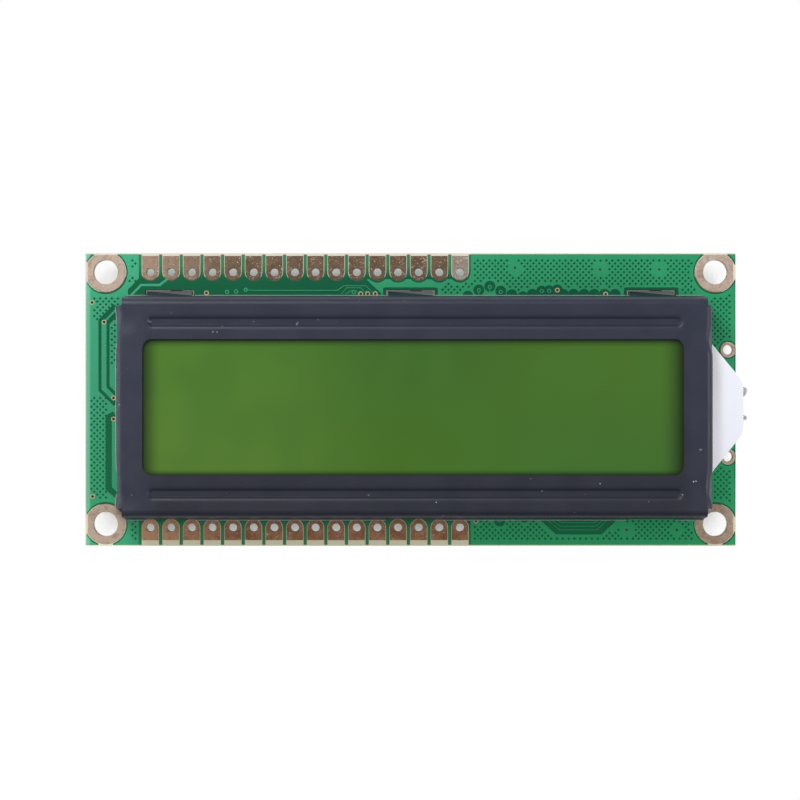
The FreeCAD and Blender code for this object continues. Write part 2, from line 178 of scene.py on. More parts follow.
def joined(name, pieces):
    """Joins pieces into one with this name."""
    only(pieces[0])
    for piece in pieces[1:]:
        piece.select_set(True)
    if len(pieces) > 1:
        bpy.ops.object.join()
    pieces[0].name = name
    pieces[0].data.name = name
    return pieces[0]


# %% [markdown]
# A circuit board is made of flat things: cut sheets and printed copper. Each is a flat curve of closed
# outlines, where an outline inside another is a hole. The curve is filled, given its thickness and
# made a mesh, which is how a router or a mask works too.

# %% Flat sheets from outlines
def rectangle(x0, y0, x1, y1):
    return [(x0, y0), (x1, y0), (x1, y1), (x0, y1)]


def arc(x, y, radius, start, end, steps=24):
    """Points on an arc, angles in degrees."""
    angles = [math.radians(start + (end - start) * i / steps) for i in range(steps + 1)]
    return [(x + radius * math.cos(a), y + radius * math.sin(a)) for a in angles]


def circle(x, y, radius, steps=32):
    return arc(x, y, radius, 0, 360, steps)[:-1]


def rounded(x0, y0, x1, y1, radius, steps=6):
    """A rectangle with round corners."""
    x0, y0, x1, y1 = x0 + radius, y0 + radius, x1 - radius, y1 - radius
    corners = [(x1, y1, 0), (x0, y1, 90), (x0, y0, 180), (x1, y0, 270)]
    return [point for x, y, turn in corners for point in arc(x, y, radius, turn, turn + 90, steps)]


def flat_curve(name, outlines, half_thickness=0.0, slope=0.0):
    curve = bpy.data.curves.new(name, "CURVE")
    curve.dimensions = "2D"
    curve.fill_mode = "BOTH"
    curve.extrude = half_thickness * mm
    curve.bevel_depth = slope * mm
    curve.offset = -slope * mm
    curve.bevel_resolution = 0
    for outline in outlines:
        spline = curve.splines.new("POLY")
        spline.points.add(len(outline) - 1)
        for point, (x, y) in zip(spline.points, outline):
            point.co = (x * mm, y * mm, 0, 1)
        spline.use_cyclic_u = True
    only(linked(name, curve))
    bpy.ops.object.convert(target="MESH")
    return bpy.context.object


def sheet(name, outlines, low, high, slope=0.0):
    """A flat sheet between two heights, its upper and lower rims sloped where slope is given."""
    piece = flat_curve(name, outlines, (high - low) / 2 - slope, slope)
    piece.location.z = (low + high) / 2 * mm
    settle(piece)
    return outward(piece)


# %% [markdown]
# Materials. Each is named for the real one. Colours are the sRGB values that a colour picker shows,
# turned to linear by one function, and one small function adds a node with its settings and links.
# Patterns read Object coordinates, so their scales are real sizes: one over the size in metres.

# %% Colour and node helpers
def linear(hex_colour):
    """Linear RGBA of an sRGB hex colour."""
    parts = [int(hex_colour[i:i + 2], 16) / 255 for i in (1, 3, 5)]
    return [c / 12.92 if c <= 0.04045 else ((c + 0.055) / 1.055) ** 2.4 for c in parts] + [1.0]


def add_node(tree, kind, inputs=None, **settings):
    """Adds a shader node. Inputs are values or sockets to link from, by name or number."""
    made = tree.nodes.new("ShaderNode" + kind)
    for name, value in settings.items():
        setattr(made, name, value)
    for name, value in (inputs or {}).items():
        if isinstance(value, bpy.types.NodeSocket):
            tree.links.new(value, made.inputs[name])
        else:
            made.inputs[name].default_value = value
    return made


def calculate(tree, operation, first, second=0.0):
    """One Math node on values or sockets."""
    return add_node(tree, "Math", {0: first, 1: second}, operation=operation).outputs[0]


def new_material(name, **shader_inputs):
    """A material with a Principled shader. Returns it with its tree, shader and Object coordinates."""
    material = bpy.data.materials.new(name)
    material.use_nodes = True
    tree = material.node_tree
    shader = tree.nodes["Principled BSDF"]
    for key, value in shader_inputs.items():
        shader.inputs[key.replace("_", " ")].default_value = value
    place = add_node(tree, "TexCoord").outputs["Object"]
    return material, tree, shader, place


def noise(tree, place, size, detail=3.0, roughness=0.55, stretch=None):
    """Noise whose grains are about size mm across; stretch makes them longer along an axis."""
    if stretch:
        place = add_node(tree, "Mapping", {"Vector": place, "Scale": stretch}).outputs["Vector"]
    return add_node(tree, "TexNoise", {"Vector": place, "Scale": 1000 / size, "Detail": detail,
                                       "Roughness": roughness}).outputs["Fac"]


def between(tree, value, low, high, to_low=0.0, to_high=1.0):
    """Maps low..high to to_low..to_high, held at both ends."""
    return add_node(tree, "MapRange", {"Value": value, "From Min": low, "From Max": high, "To Min": to_low,
                                       "To Max": to_high}, interpolation_type="SMOOTHSTEP").outputs["Result"]


def blend_colours(tree, factor, first, second):
    """Mixes two colours, hex values or sockets."""
    first, second = [linear(tone) if isinstance(tone, str) else tone for tone in (first, second)]
    mix = add_node(tree, "Mix", data_type="RGBA")
    for socket, value in (("Factor_Float", factor), ("A_Color", first), ("B_Color", second)):
        target = next(s for s in mix.inputs if s.identifier == socket)
        if isinstance(value, bpy.types.NodeSocket):
            tree.links.new(value, target)
        else:
            target.default_value = value
    return next(s for s in mix.outputs if s.identifier == "Result_Color")


def bump(tree, shader, height, depth, flow=0.0):
    """Bump of a real depth in mm. With flow, edges look rounded by this radius, as varnish rounds them."""
    made = add_node(tree, "Bump", {"Height": height, "Distance": depth * mm})
    if flow:
        edges = add_node(tree, "Bevel", {"Radius": flow * mm}, samples=4)
        tree.links.new(edges.outputs["Normal"], made.inputs["Normal"])
    tree.links.new(made.outputs["Normal"], shader.inputs["Normal"])


def split(tree, place):
    return add_node(tree, "SeparateXYZ", {"Vector": place}).outputs


def total(tree, values):
    result = values[0]
    for value in values[1:]:
        result = calculate(tree, "ADD", result, value)
    return result


def plain(name, colour, second, size, **settings):
    """A material whose colour drifts a little between two tones."""
    material, tree, shader, place = new_material(name, **settings)
    base = blend_colours(tree, noise(tree, place, size), colour, second)
    tree.links.new(base, shader.inputs["Base Color"])
    return material


def dress(piece, *materials):
    piece.data.materials.clear()
    for material in materials:
        piece.data.materials.append(material)
    return piece


def hold(piece, slot, *nodes):
    """Rides the piece on the one body, hides the nodes that it stands for and names them in a print. slot is
    not used.
    """
    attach(piece, "root")
    if nodes:
        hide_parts(*nodes)
    print(piece.name, len(piece.data.polygons), "faces", "for", nodes)
    return piece


# %% [markdown]
# The board's materials. The laminate is glass cloth in clear epoxy: cream, with the weave just showing.
# Solder mask is a green varnish. Over bare laminate it looks deep green, and over copper the metal
# throws light back through it, so it is paler there. A thin varnish is glossy and a little wavy.

# %% Laminate and solder mask
ply = 0.25
# the period of Blender's wave texture at a scale of one
wave_length = 0.314


def laminate_material():
    material, tree, shader, place = new_material("glass epoxy laminate, sawn", Roughness=0.55, IOR=1.55)
    scale = wave_length / (ply * mm)
    cloth_layers = add_node(tree, "TexWave", {"Vector": place, "Scale": scale, "Distortion": 0.6},
                            bands_direction="Z").outputs["Fac"]
    weave = calculate(tree, "MULTIPLY", cloth_layers, noise(tree, place, 0.4, 2.0))
    axes = split(tree, place)
    towards_top = between(tree, axes["Y"], bottom * mm, top * mm)
    base = blend_colours(tree, weave, blend_colours(tree, towards_top, "#d3ccac", "#cfc4b6"),
                         blend_colours(tree, towards_top, "#dcd6ba", "#d8cec2"))
    # Inside the board's edges the laminate is much darker, which shows on the slot and hole walls: partly
    # their own rough routed tone, partly painted shade.
    from_middle = [calculate(tree, "ABSOLUTE", axes[axis]) for axis in "XY"]
    rough_and_shaded_walls = calculate(tree, "MULTIPLY", between(tree, from_middle[0], 38 * mm, 38.5 * mm, 1.0, 0.0),
                         between(tree, from_middle[1], 14.8 * mm, 15 * mm, 0.9, 0.0))
    base = blend_colours(tree, rough_and_shaded_walls, base, "#3f4730")
    tree.links.new(base, shader.inputs["Base Color"])
    bump(tree, shader, weave, 0.01)
    return material


def mask_material(name, corners, tint, by_edges, left_edge_highlight):
    """Green varnish. corners are its tones at the board's lower left, lower right, upper left and upper
    right, and carry painted light and shade across the board. by_edges is its tone between the pads of the
    long edges, and the last argument is the tone at the left edge, a painted highlight."""
    material, tree, shader, place = new_material(name, Roughness=0.3, IOR=1.5)
    shader.inputs["Specular IOR Level"].default_value = 0.3
    axes = split(tree, place)
    across = between(tree, axes["X"], left * mm, 0.5 * right * mm)
    height = between(tree, axes["Y"], bottom * mm, top * mm)
    # The corner tones carry painted light and shade across the board.
    lower = blend_colours(tree, across, corners[0], corners[1])
    upper = blend_colours(tree, across, corners[2], corners[3])
    base = blend_colours(tree, height, lower, upper)
    cloud = noise(tree, place, 5.0)
    base = blend_colours(tree, between(tree, cloud, 0.35, 0.7, 0.0, 0.3), base, tint)
    from_middle = calculate(tree, "ABSOLUTE", axes["Y"])
    by_pads = between(tree, from_middle, 14.6 * mm, 16.5 * mm, 0.0, 0.7)
    for x, low, high in ((-33.4, 0.0, 1.0), (7.4, 1.0, 0.0)):
        inside = between(tree, axes["X"], (x - 0.3) * mm, (x + 0.3) * mm, low, high)
        by_pads = calculate(tree, "MULTIPLY", by_pads, inside)
    base = blend_colours(tree, by_pads, base, by_edges)
    # A painted highlight along the board's left edge, where the light from the left catches the varnish.
    left_highlight_share = between(tree, axes["X"], (left + 0.4) * mm, (left + 0.75) * mm, 0.6, 0.0)
    base = blend_colours(tree, left_highlight_share, base, left_edge_highlight)
    tree.links.new(base, shader.inputs["Base Color"])
    bump(tree, shader, noise(tree, place, 0.9, 1.0), 0.006, flow=0.07)
    return material


laminate = laminate_material()
# Each mask's four corner tones carry painted light and shade; its last tone is a painted highlight at the
# left edge.
mask_on_laminate = mask_material(
    "green solder mask over laminate", ("#106a44", "#0a6a46", "#05603c", "#03543a"), "#07633f", "#3c8658",
    "#2f9a72")
mask_on_copper = mask_material(
    "green solder mask over copper", ("#389c6e", "#259c60", "#3ea57c", "#258e5e"), "#2f9a6a", "#249a60",
    "#78cda8")
print("board materials", laminate.name, mask_on_laminate.name, mask_on_copper.name)

# %% [markdown]
# The pads were tinned thinly and have tarnished brown in storage, with pale scratches and specks where
# something has rubbed them. Tarnished metal is rougher than clean metal. The holes' plating is the
# same metal, seen from the side.

# %% Tarnished pads
def pad_material(name, upper, lower, towards_left, pale, pale_share):
    """Tarnish. upper and lower are the darker and lighter tone at the two long edges of the board,
    towards_left the tones at its upper left and lower left, pale the tone of scratches and specks."""
    material, tree, shader, place = new_material(name, Metallic=0.5, Roughness=0.42)
    axes = split(tree, place)
    stain = between(tree, noise(tree, place, 1.6, 4.0), 0.35, 0.68)
    height = between(tree, axes["Y"], bottom * mm, top * mm)
    by_lower, by_upper = [blend_colours(tree, stain, *tones) for tones in (lower, upper)]
    base = blend_colours(tree, height, by_lower, by_upper)
    left_share = between(tree, axes["X"], -34 * mm, -20 * mm, 0.75, 0.0)
    base = blend_colours(tree, left_share, base, blend_colours(tree, height, *reversed(towards_left)))
    blots = between(tree, noise(tree, place, 0.7, 3.0), 0.5, 0.66, 0.0, 0.3)
    base = blend_colours(tree, blots, base, "#6e5340")
    grain = noise(tree, place, 0.16, 2.0)
    patches = between(tree, noise(tree, place, 1.1, 2.0), 0.4, 0.7, 0.0, 0.08)
    grain_level = calculate(tree, "ADD", grain, patches)
    base = blend_colours(tree, between(tree, grain_level, 0.62 - pale_share, 0.76 - pale_share), base, pale)
    turn = (0, 0, math.radians(-32))
    turned = add_node(tree, "Mapping", {"Vector": place, "Rotation": turn}).outputs["Vector"]
    scratch = noise(tree, turned, 0.22, 1.0, 0.5, (0.2, 1.0, 1.0))
    base = blend_colours(tree, between(tree, scratch, 0.7, 0.74, 0.0, 0.5), base, pale)
    tree.links.new(base, shader.inputs["Base Color"])
    tree.links.new(between(tree, stain, 0.0, 1.0, 0.5, 0.36), shader.inputs["Roughness"])
    bump(tree, shader, grain, 0.01)
    return material


def plating_material():
    material, tree, shader, place = new_material("tinned hole plating", Metallic=1.0, Roughness=0.38)
    stain = noise(tree, place, 0.7)
    base = blend_colours(tree, between(tree, stain, 0.35, 0.65), "#8a7a6a", "#d8cfc4")
    tree.links.new(base, shader.inputs["Base Color"])
    return material


tarnished = pad_material("tarnished tinned copper", ("#65503d", "#7f6852"), ("#9c6a49", "#b88664"),
                         ("#b89b86", "#e6b28a"), "#d8c2ac", -0.005)
ring_tarnish = pad_material("lightly tarnished copper", ("#bda696", "#dbc8b6"), ("#b79d86", "#d4bca4"),
                            ("#c6b09e", "#c6b09e"), "#e6d9cb", -0.02)
pale_tarnished = pad_material("pale tinned copper", ("#938477", "#ada299"), ("#a08d7c", "#bcad9c"),
                              ("#c4b49c", "#c4b49c"), "#dcd2c8", 0.03)
contact_tin = pad_material("tinned backlight contact", ("#c4a98e", "#dcc6ae"), ("#c4a98e", "#dcc6ae"),
                           ("#c4a98e", "#c4a98e"), "#ebe0d2", 0.0)
plating = plating_material()
print("metal", tarnished.name, ring_tarnish.name, pale_tarnished.name, plating.name)

# %% [markdown]
# The laminate: one sheet, sawn to size, with every hole and the six slots for the frame's tabs.
# It is one flat curve with 44 openings, given its 1.6 mm.

# %% Board laminate
pin_hole_radius = 0.5
plating_thickness = 0.03
mounting_hole_radius = 1.5
contact_hole_radius = 0.6
contact_pad_radius = 0.9
pins = [(x, y) for y in (upper_pins_y, lower_pins_y) for x in pins_x]
mountings = [(sx * hole_x, sy * hole_y) for sx in (-1, 1) for sy in (-1, 1)]
contacts = [(contact_x, y) for y in contacts_y]


def all_holes(extra):
    """Outlines of every drilled hole, this much larger than the finished one."""
    return ([circle(x, y, pin_hole_radius + extra, 24) for x, y in pins]
            + [circle(x, y, mounting_hole_radius + extra, 48) for x, y in mountings]
            + [circle(x, y, contact_hole_radius + extra, 24) for x, y in contacts])


def slots(extra):
    half_x, half_y = slot_length / 2 + extra, slot_width / 2 + extra
    return [rectangle(x - half_x, y - half_y, x + half_x, y + half_y)
            for x in slot_x for y in (upper_slot_y, lower_slot_y)]


outlines = [rectangle(left, bottom, right, top)] + all_holes(plating_thickness) + slots(0.0)
board = sheet("circuit_board_laminate", outlines, 0.0, laminate_top)
hold(dress(board, laminate), "board", "circuit_board")

# %% [markdown]
# The mask leaves the pads bare. Its openings are a little larger than the pads, so a thin line of
# laminate shows round each, and they run out over the edge where a pad reaches it. So the outline of
# the mask is the board's edge with a notch for each pad, and a loose corner beyond each mounting ring.

# %% Solder mask
mask_gap = 0.075
mask_left, mask_right = left + 0.2, right - 0.04
mask_bottom, mask_top = bottom + 0.12, top - 0.16
ring_radius = 2.47
ring_strip = 1.8
pad_width = 2.0
mask_thickness = 0.018


def ring_paths(sx, sy, radius, strip):
    """A mounting ring's opening in the mask: its path round the board's side of the ring, from side edge
    to long edge, and the loose corner beyond. Near an edge a strip this wide is bare."""
    side = abs(mask_left if sx < 0 else mask_right) - hole_x
    long = abs(mask_bottom if sy < 0 else mask_top) - hole_y
    on_side = max(math.sqrt(max(radius**2 - side**2, 0)), strip / 2)
    on_long = max(math.sqrt(max(radius**2 - long**2, 0)), strip / 2)
    side_angle = math.degrees(math.asin(on_side / radius))
    long_angle = math.degrees(math.acos(on_long / radius))
    inner = [(side, -on_side)] + arc(0, 0, radius, -side_angle, -180 - long_angle, 32) + [(-on_long, long)]
    corner = [(side, on_side), (side, long), (on_long, long)] + arc(0, 0, radius, long_angle, side_angle, 6)
    return [[(sx * (hole_x + u), sy * (hole_y + v)) for u, v in path] for path in (inner, corner)]


def pad_notches(row_y, edge, grow):
    """A row of pad openings as one path along the board's edge: rightwards below, leftwards above."""
    points = []
    r = pad_width / 2 + grow
    if edge > row_y:
        for x in reversed(pins_x):
            points += [(x + r, edge)] + arc(x, row_y, r, 0, -180, 16) + [(x - r, edge)]
    else:
        for x in pins_x:
            points += [(x - r, edge)] + arc(x, row_y, r, 180, 0, 16) + [(x + r, edge)]
    return points


def mask_outlines(with_pads):
    """The mask's outline, anticlockwise from the lower left mounting ring, and the four loose corners."""
    points = []
    corners = []
    for sx, sy in ((-1, -1), (1, -1), (1, 1), (-1, 1)):
        inner, corner = ring_paths(sx, sy, ring_radius + mask_gap, ring_strip)
        points += inner if sx * sy > 0 else list(reversed(inner))
        corners.append(corner)
        if with_pads and (sx, sy) == (-1, -1):
            points += pad_notches(lower_pins_y, mask_bottom, mask_gap)
        if with_pads and (sx, sy) == (1, 1):
            points += pad_notches(upper_pins_y, mask_top, mask_gap)
    return [points] + corners


contact_openings = [circle(x, y, contact_pad_radius + mask_gap, 24) for x, y in contacts]
outlines = mask_outlines(True) + contact_openings + slots(0.0)
mask = sheet("solder_mask_front", outlines, laminate_top - 0.004, laminate_top + mask_thickness)
hold(dress(mask, mask_on_laminate), "board")

# %% [markdown]
# Pads stand a little proud of the laminate, with edges rounded by the etching. Each is a closed outline
# with its hole. A mounting ring is cut flat where it would reach the board's edge.

# %% Pads and rings on the front
upper_pad_margin, lower_pad_margin = 0.33, 0.7
pad_slope = 0.03
ring_margin_x, ring_margin_y = 0.3, 0.2


def pad_outline(x, y, edge):
    """A pad that is round about its hole and ends square, short of the board's edge."""
    r = pad_width / 2
    if edge > y:
        end = edge - upper_pad_margin
        return arc(x, y, r, 180, 360, 20) + [(x + r, end), (x - r, end)]
    end = edge + lower_pad_margin
    return arc(x, y, r, 0, 180, 20) + [(x - r, end), (x + r, end)]


def ring_outline(x, y, radius):
    """A circle cut back to the bare margin along the board's edges."""
    clip_x, clip_y = right - ring_margin_x, (bottom + ring_margin_y, top - ring_margin_y)
    return [(max(-clip_x, min(clip_x, px)), max(clip_y[0], min(clip_y[1], py)))
            for px, py in circle(x, y, radius, 72)]


def pad_row(name, y, edge, columns, material):
    outlines = [pad_outline(pins_x[i], y, edge) for i in columns]
    outlines += [circle(pins_x[i], y, pin_hole_radius, 24) for i in columns]
    return dress(sheet(name, outlines, laminate_top, copper_top, pad_slope), material)


last_pad = pin_count - 1
hold(pad_row("upper_pin_pads", upper_pins_y, top, range(last_pad), tarnished), "tinned_lead")
hold(pad_row("upper_pin_pad_16", upper_pins_y, top, [last_pad], pale_tarnished), "tinned_lead")
hold(pad_row("lower_pin_pads", lower_pins_y, bottom, range(pin_count), tarnished), "tinned_lead")

ring_outlines = [ring_outline(x, y, ring_radius) for x, y in mountings]
ring_outlines += [circle(x, y, mounting_hole_radius, 48) for x, y in mountings]
rings = sheet("mounting_rings", ring_outlines, laminate_top, copper_top, pad_slope)
hold(dress(rings, ring_tarnish), "tinned_lead")

contact_rings = [circle(x, y, r, 28) for x, y in contacts for r in (contact_pad_radius, contact_hole_radius)]
contact_pads = sheet("backlight_pads", contact_rings, laminate_top, copper_top, pad_slope)
hold(dress(contact_pads, contact_tin), "tinned_lead")

# %% Hole plating
# one thin tube lines each hole, from rear pad to front pad
outlines = all_holes(plating_thickness) + all_holes(0.0)
hold(dress(sheet("hole_plating", outlines, -0.03, laminate_top + 0.03), plating), "tinned_lead")

# %% [markdown]
# Printed copper under the mask. The ground plane is a slab with round clearances, then hundreds of small
# square openings on a 45 degree lattice, which keep a large copper area flat. One opening is modelled
# once as a little pit with sloping sides and copied to its places, and a Boolean cuts them all.

# %% Cutting helpers
trace_top = laminate_top + 0.045


def prism(name, outline, low, high):
    return sheet(name, [outline], low, high)


def cut_by(piece, cutters, operation="DIFFERENCE", overlapping=False):
    """Cuts the joined cutters out of the piece, or with INTERSECT keeps only what is inside them."""
    cutter = joined(piece.name + "_cutter", cutters)
    modify(piece, "BOOLEAN", object=cutter, operation=operation, solver="EXACT", use_self=overlapping)
    bpy.data.objects.remove(cutter)
    return piece


def strip(points, width):
    """The outline of a printed track of this width along the points, with mitred corners."""
    sides = ([], [])
    for i, (x, y) in enumerate(points):
        ahead = points[min(i + 1, len(points) - 1)]
        behind = points[max(i - 1, 0)]
        to_here = Vector((x - behind[0], y - behind[1])) if i else Vector((ahead[0] - x, ahead[1] - y))
        away = Vector((ahead[0] - x, ahead[1] - y)) if i < len(points) - 1 else to_here
        first, second = to_here.normalized(), away.normalized()
        normal = Vector((-first.y - second.y, first.x + second.x))
        normal *= 1 / max(normal.length_squared / 2, 0.2) * width / 2
        sides[0].append((x + normal.x, y + normal.y))
        sides[1].append((x - normal.x, y - normal.y))
    return sides[0] + list(reversed(sides[1]))


# %% [markdown]
# Where the copper lies, in mm. These are design values read off the real board's visible strips: the
# plane, the bare fields without copper, the holes between layers with their clearances, and the tracks.

# %% Layout of the printed copper
plane_margin = 0.12
clearance = 0.3
bare_fields = [
    # about and below the first eleven upper pads, then about the last five
    [(-33.4, 18.5), (-33.4, 14.75), (-34.75, 13.35), (-34.75, 11.0), (-3.55, 11.0), (-3.6, 12.9),
     (-4.76, 13.95), (-5.4, 14.6), (-5.4, 18.5)],
    [(-5.45, 18.5), (-5.45, 14.62), (6.1, 14.62), (6.1, 18.5)],
    # between the lower pads
    [(-33.4, -18.6), (-33.4, -14.4), (7.4, -14.4), (7.4, -18.6)],
    # by the left wall of the frame
    strip([(-36.0, 11.1), (-37.69, 9.36), (-37.69, 1.2), (-36.0, -0.5)], 1.36),
    strip([(-36.2, -2.3), (-36.75, -2.6), (-36.75, -10.9), (-35.6, -11.9)], 1.5),
    # nested tracks below the frame
    [(14.9, -14.0), (17.9, -16.75), (23.5, -16.75), (26.4, -14.0)],
]
vias_bare = [(-39.17, 11.76), (-37.69, 9.36), (-39.11, -12.1), (-36.53, 0.03), (-36.53, -2.57),
             (-25.09, 12.93), (-6.12, 12.84), (-5.26, 12.84), (-4.33, 12.85), (18.07, 13.29),
             (24.02, 12.8), (8.05, -15.1)]
vias_masked = [(-22.55, 13.06), (-21.44, 13.12), (-20.26, 13.33), (-6.98, 13.03), (8.42, 13.26),
               (9.77, 13.67), (11.12, 13.06), (16.16, 13.15), (17.06, 13.2), (10.96, -15.02)]
via_clearances = ([(8.42, 13.3), (9.77, 13.75), (11.12, 13.15), (7.06, 12.5), (12.48, 12.7), (13.83, 12.45)]
                  + [(15.0 + 1.27 * i, 12.75) for i in range(9)]
                  + [(16.16, 13.15), (17.06, 13.2), (18.07, 13.29), (10.96, -15.1), (14.0, -14.6)])
via_holes_only = [(12.85, 16.03), (23.33, 15.83), (30.6, 15.84), (26.58, -16.2), (32.76, -16.22)]
tracks = [
    ([(-29.46, 15.0), (-30.85, 13.9), (-33.13, 13.9), (-35.0, 12.0)], 0.3),
    ([(-20.26, 13.33), (-19.6, 13.26), (-8.96, 13.26), (-8.22, 13.82), (-5.5, 13.82), (-4.33, 12.7)], 0.1),
    ([(-8.5, 12.8), (-7.85, 13.57), (-6.12, 13.57), (-5.3, 12.8)], 0.1),
    ([(-8.0, 12.8), (-7.36, 13.2), (-6.7, 13.2), (-6.3, 12.8)], 0.1),
    ([(-36.0, 11.1), (-37.5, 9.55)], 0.24),
    ([(-37.69, 9.36), (-37.69, 1.2), (-36.3, -0.2)], 0.62),
    ([(-36.4, -2.4), (-36.4, -10.8), (-35.8, -11.4)], 0.66),
    ([(8.42, 13.0), (8.42, 12.5)], 0.12),
    ([(9.77, 13.4), (9.77, 12.5)], 0.12),
] + [([(16.35 + d, -14.6), (18.35 + 0.3 * d, -16.2 + d), (22.9 - 0.3 * d, -16.2 + d), (24.6 - d, -14.6)], 0.1)
     for d in (0.0, 0.45, 0.9)]
print("tracks", len(tracks), "vias", len(vias_bare) + len(vias_masked))

# %% Ground plane
ring_gap, contact_gap = 0.24, 0.22
via_gap_radius, via_hole_radius = 0.68, 0.13
last_pad_gap = 1.35


def slot_surrounds(half_x, half_y, radius):
    """A rectangle with round corners about each slot's middle."""
    return [rounded(x - half_x, y - half_y, x + half_x, y + half_y, radius)
            for x in slot_x for y in (upper_slot_y, lower_slot_y)]


def plane_openings():
    """Outlines without copper: bare fields, then the gaps round rings, pads, vias and slots."""
    return (bare_fields
            + [circle(x, y, ring_radius + ring_gap, 48) for x, y in mountings]
            + [circle(x, y, contact_pad_radius + contact_gap, 32) for x, y in contacts]
            + [circle(x, upper_pins_y, pad_width / 2 + clearance, 32) for x in pins_x[11:]]
            + [circle(x, y, via_gap_radius, 20) for x, y in via_clearances]
            + [circle(x, y, via_hole_radius, 12) for x, y in via_holes_only]
            + slot_surrounds(slot_length / 2 + 0.36, slot_width / 2 + 0.3, 0.25)
            + [rectangle(pins_x[-1] - last_pad_gap, upper_pins_y, pins_x[-1] + last_pad_gap, 19)])


outline = rectangle(left + plane_margin, bottom + plane_margin, right - plane_margin, top - plane_margin)
plane = sheet("ground_plane", [outline], laminate_top + 0.004, trace_top)
cutters = [prism("plane_gap", opening, laminate_top - 0.1, trace_top + 0.1) for opening in plane_openings()]
cut_by(plane, cutters, overlapping=True)
print("plane", len(plane.data.polygons), "faces")

# %% Hatch openings
hatch_step = 0.36
opening_floor, opening_top = 0.14, 0.165 * 1.25
hatch_fields = [
    (7.9, 12.9, 35.0, 17.1), (37.0, 6.3, 39.5, 12.6), (37.1, -12.7, 39.5, -8.1), (7.7, -17.3, 35.0, -15.0),
    (-39.3, -12.7, -37.35, 0.3), (-38.95, 9.7, -36.0, 12.5), (-36.95, 4.3, -36.1, 9.2),
    (-34.5, 16.0, -33.6, 17.2), (-34.7, 14.2, -33.7, 14.9), (-34.5, -17.3, -33.6, -14.9),
    (3.3, 12.6, 7.9, 14.05),
]
hatch_keep_outs = ([(x, y, ring_radius + 0.62) for x, y in mountings]
                   + [(x, y, 1.5) for x, y in contacts]
                   + [(x, y, 0.95) for x, y in via_clearances + via_holes_only]
                   + [(x, upper_pins_y, 1.62) for x in pins_x] + [(x, y, 0.55) for x, y in vias_bare])


def in_hatch(x, y):
    if not any(x0 <= x <= x1 and y0 <= y <= y1 for x0, y0, x1, y1 in hatch_fields):
        return False
    if any(math.hypot(x - cx, y - cy) < r for cx, cy, r in hatch_keep_outs):
        return False
    if any(abs(x - cx) < slot_length / 2 + 0.62 and abs(y - upper_slot_y) < 1.0 for cx in slot_x):
        return False
    by_nested_tracks = -17.0 < y < -14 and abs(x - 20.65) < 3.3 + (y + 17.0) * 1.15
    return not by_nested_tracks


def hatch_places():
    """Middles of the openings: a square lattice turned by 45 degrees, where the fields allow it."""
    half_rows = int((top - bottom) / 2 / hatch_step) + 2
    lattice = [((2 * column + row % 2) * hatch_step, row * hatch_step)
               for row in range(-half_rows, half_rows) for column in range(-60, 60)]
    return [(x, y) for x, y in lattice if in_hatch(x, y)]


def pit_cutters(places, low, high):
    """One mesh of square pits, wider at the top, points towards the board's edges."""
    verts, faces = [], []
    for x, y in places:
        start = len(verts)
        for z, half in ((low, opening_floor), (high, opening_top)):
            verts += [((x + dx * half) * mm, (y + dy * half) * mm, z * mm)
                      for dx, dy in ((1, 0), (0, 1), (-1, 0), (0, -1))]
        sides = [(i, (i + 1) % 4, 4 + (i + 1) % 4, 4 + i) for i in range(4)]
        faces += [[start + i for i in corners] for corners in [(3, 2, 1, 0), (4, 5, 6, 7)] + sides]
    mesh = bpy.data.meshes.new("pits")
    mesh.from_pydata(verts, [], faces)
    return linked("pits", mesh)


places = hatch_places()
cut_by(plane, [pit_cutters(places, laminate_top - 0.01, trace_top + 0.01)])
hold(dress(plane, mask_on_copper), "board")
print("hatch openings", len(places))

# %% Tracks and vias
def via_rings(name, centres, outer, inner, height, material, slot):
    outlines = [circle(x, y, r, 16) for x, y in centres for r in (outer, inner)]
    return hold(dress(sheet(name, outlines, laminate_top + 0.004, height, 0.012), material), slot)


track_pieces = [sheet("track", [strip(points, width)], laminate_top + 0.002, trace_top - 0.003, 0.014)
                for points, width in tracks]
hold(dress(joined("printed_tracks", track_pieces), mask_on_copper), "board")
via_tin = plain("thin tin round a via", "#c3b68c", "#d3c8a0", 0.4, Metallic=0.4, Roughness=0.45)
via_rings("bare_vias", vias_bare, 0.3, 0.17, trace_top + 0.004, via_tin, "tinned_lead")
via_rings("masked_vias", vias_masked, 0.27, 0.13, trace_top + 0.002, mask_on_copper, "board")
# Each via's hole is a dark disc: painted shade down the narrow bore.
via_bore_shade = plain("painted shade in a via's bore", "#2c2416", "#3a301f", 0.3, Roughness=0.7)
outlines = [circle(x, y, 0.18, 12) for x, y in vias_bare]
outlines += [circle(x, y, 0.15, 12) for x, y in via_holes_only]
hold(dress(sheet("via_bores", outlines, laminate_top, trace_top + 0.003), via_bore_shade), "board")

# %% [markdown]
# The frame is one folded sheet of painted steel. Its face starts as a flat outline with the window cut
# out. The grooves are pressed in, the four bends are spun from the face's edges, and the walls are drawn
# down to the board. Then the sheet gets its thickness inwards, as real sheet has, and its edges are
# rounded. The short walls are pinched near their ends, which holds the stack sideways.

# %% Sizes of the frame
sheet_thickness = 0.4
bend_radius = 0.9
long_flare, left_flare, right_flare = 0.5, 0.8, 0.35
face_top = box_mm("front_frame")[1][2]
foot = (left + 3.6, bottom + 3.27, right - 3.05, top - 5.13)
face_left = foot[0] + left_flare + bend_radius
face_right = foot[2] - right_flare - bend_radius
face_bottom = foot[1] + long_flare + bend_radius
face_high = foot[3] - long_flare - bend_radius
window = (face_left + 2.45 - 0.2, face_bottom + 4.15, face_right - 2.45 - 0.2, face_high - 4.15)
groove_steps = [(0.26, 0.02), (0.2, 0.06), (0.15, 0.12), (0.11, 0.16), (0.07, 0.04)]
groove_end, groove_width = 2.4, 2.2
grooves_y = (face_bottom + 1.95, face_high - 2.05)
overrun = 0.25
corner_gap = 0.1
lip = 0.1
near = 0.01
print("face", face_left, face_right, face_bottom, face_high)


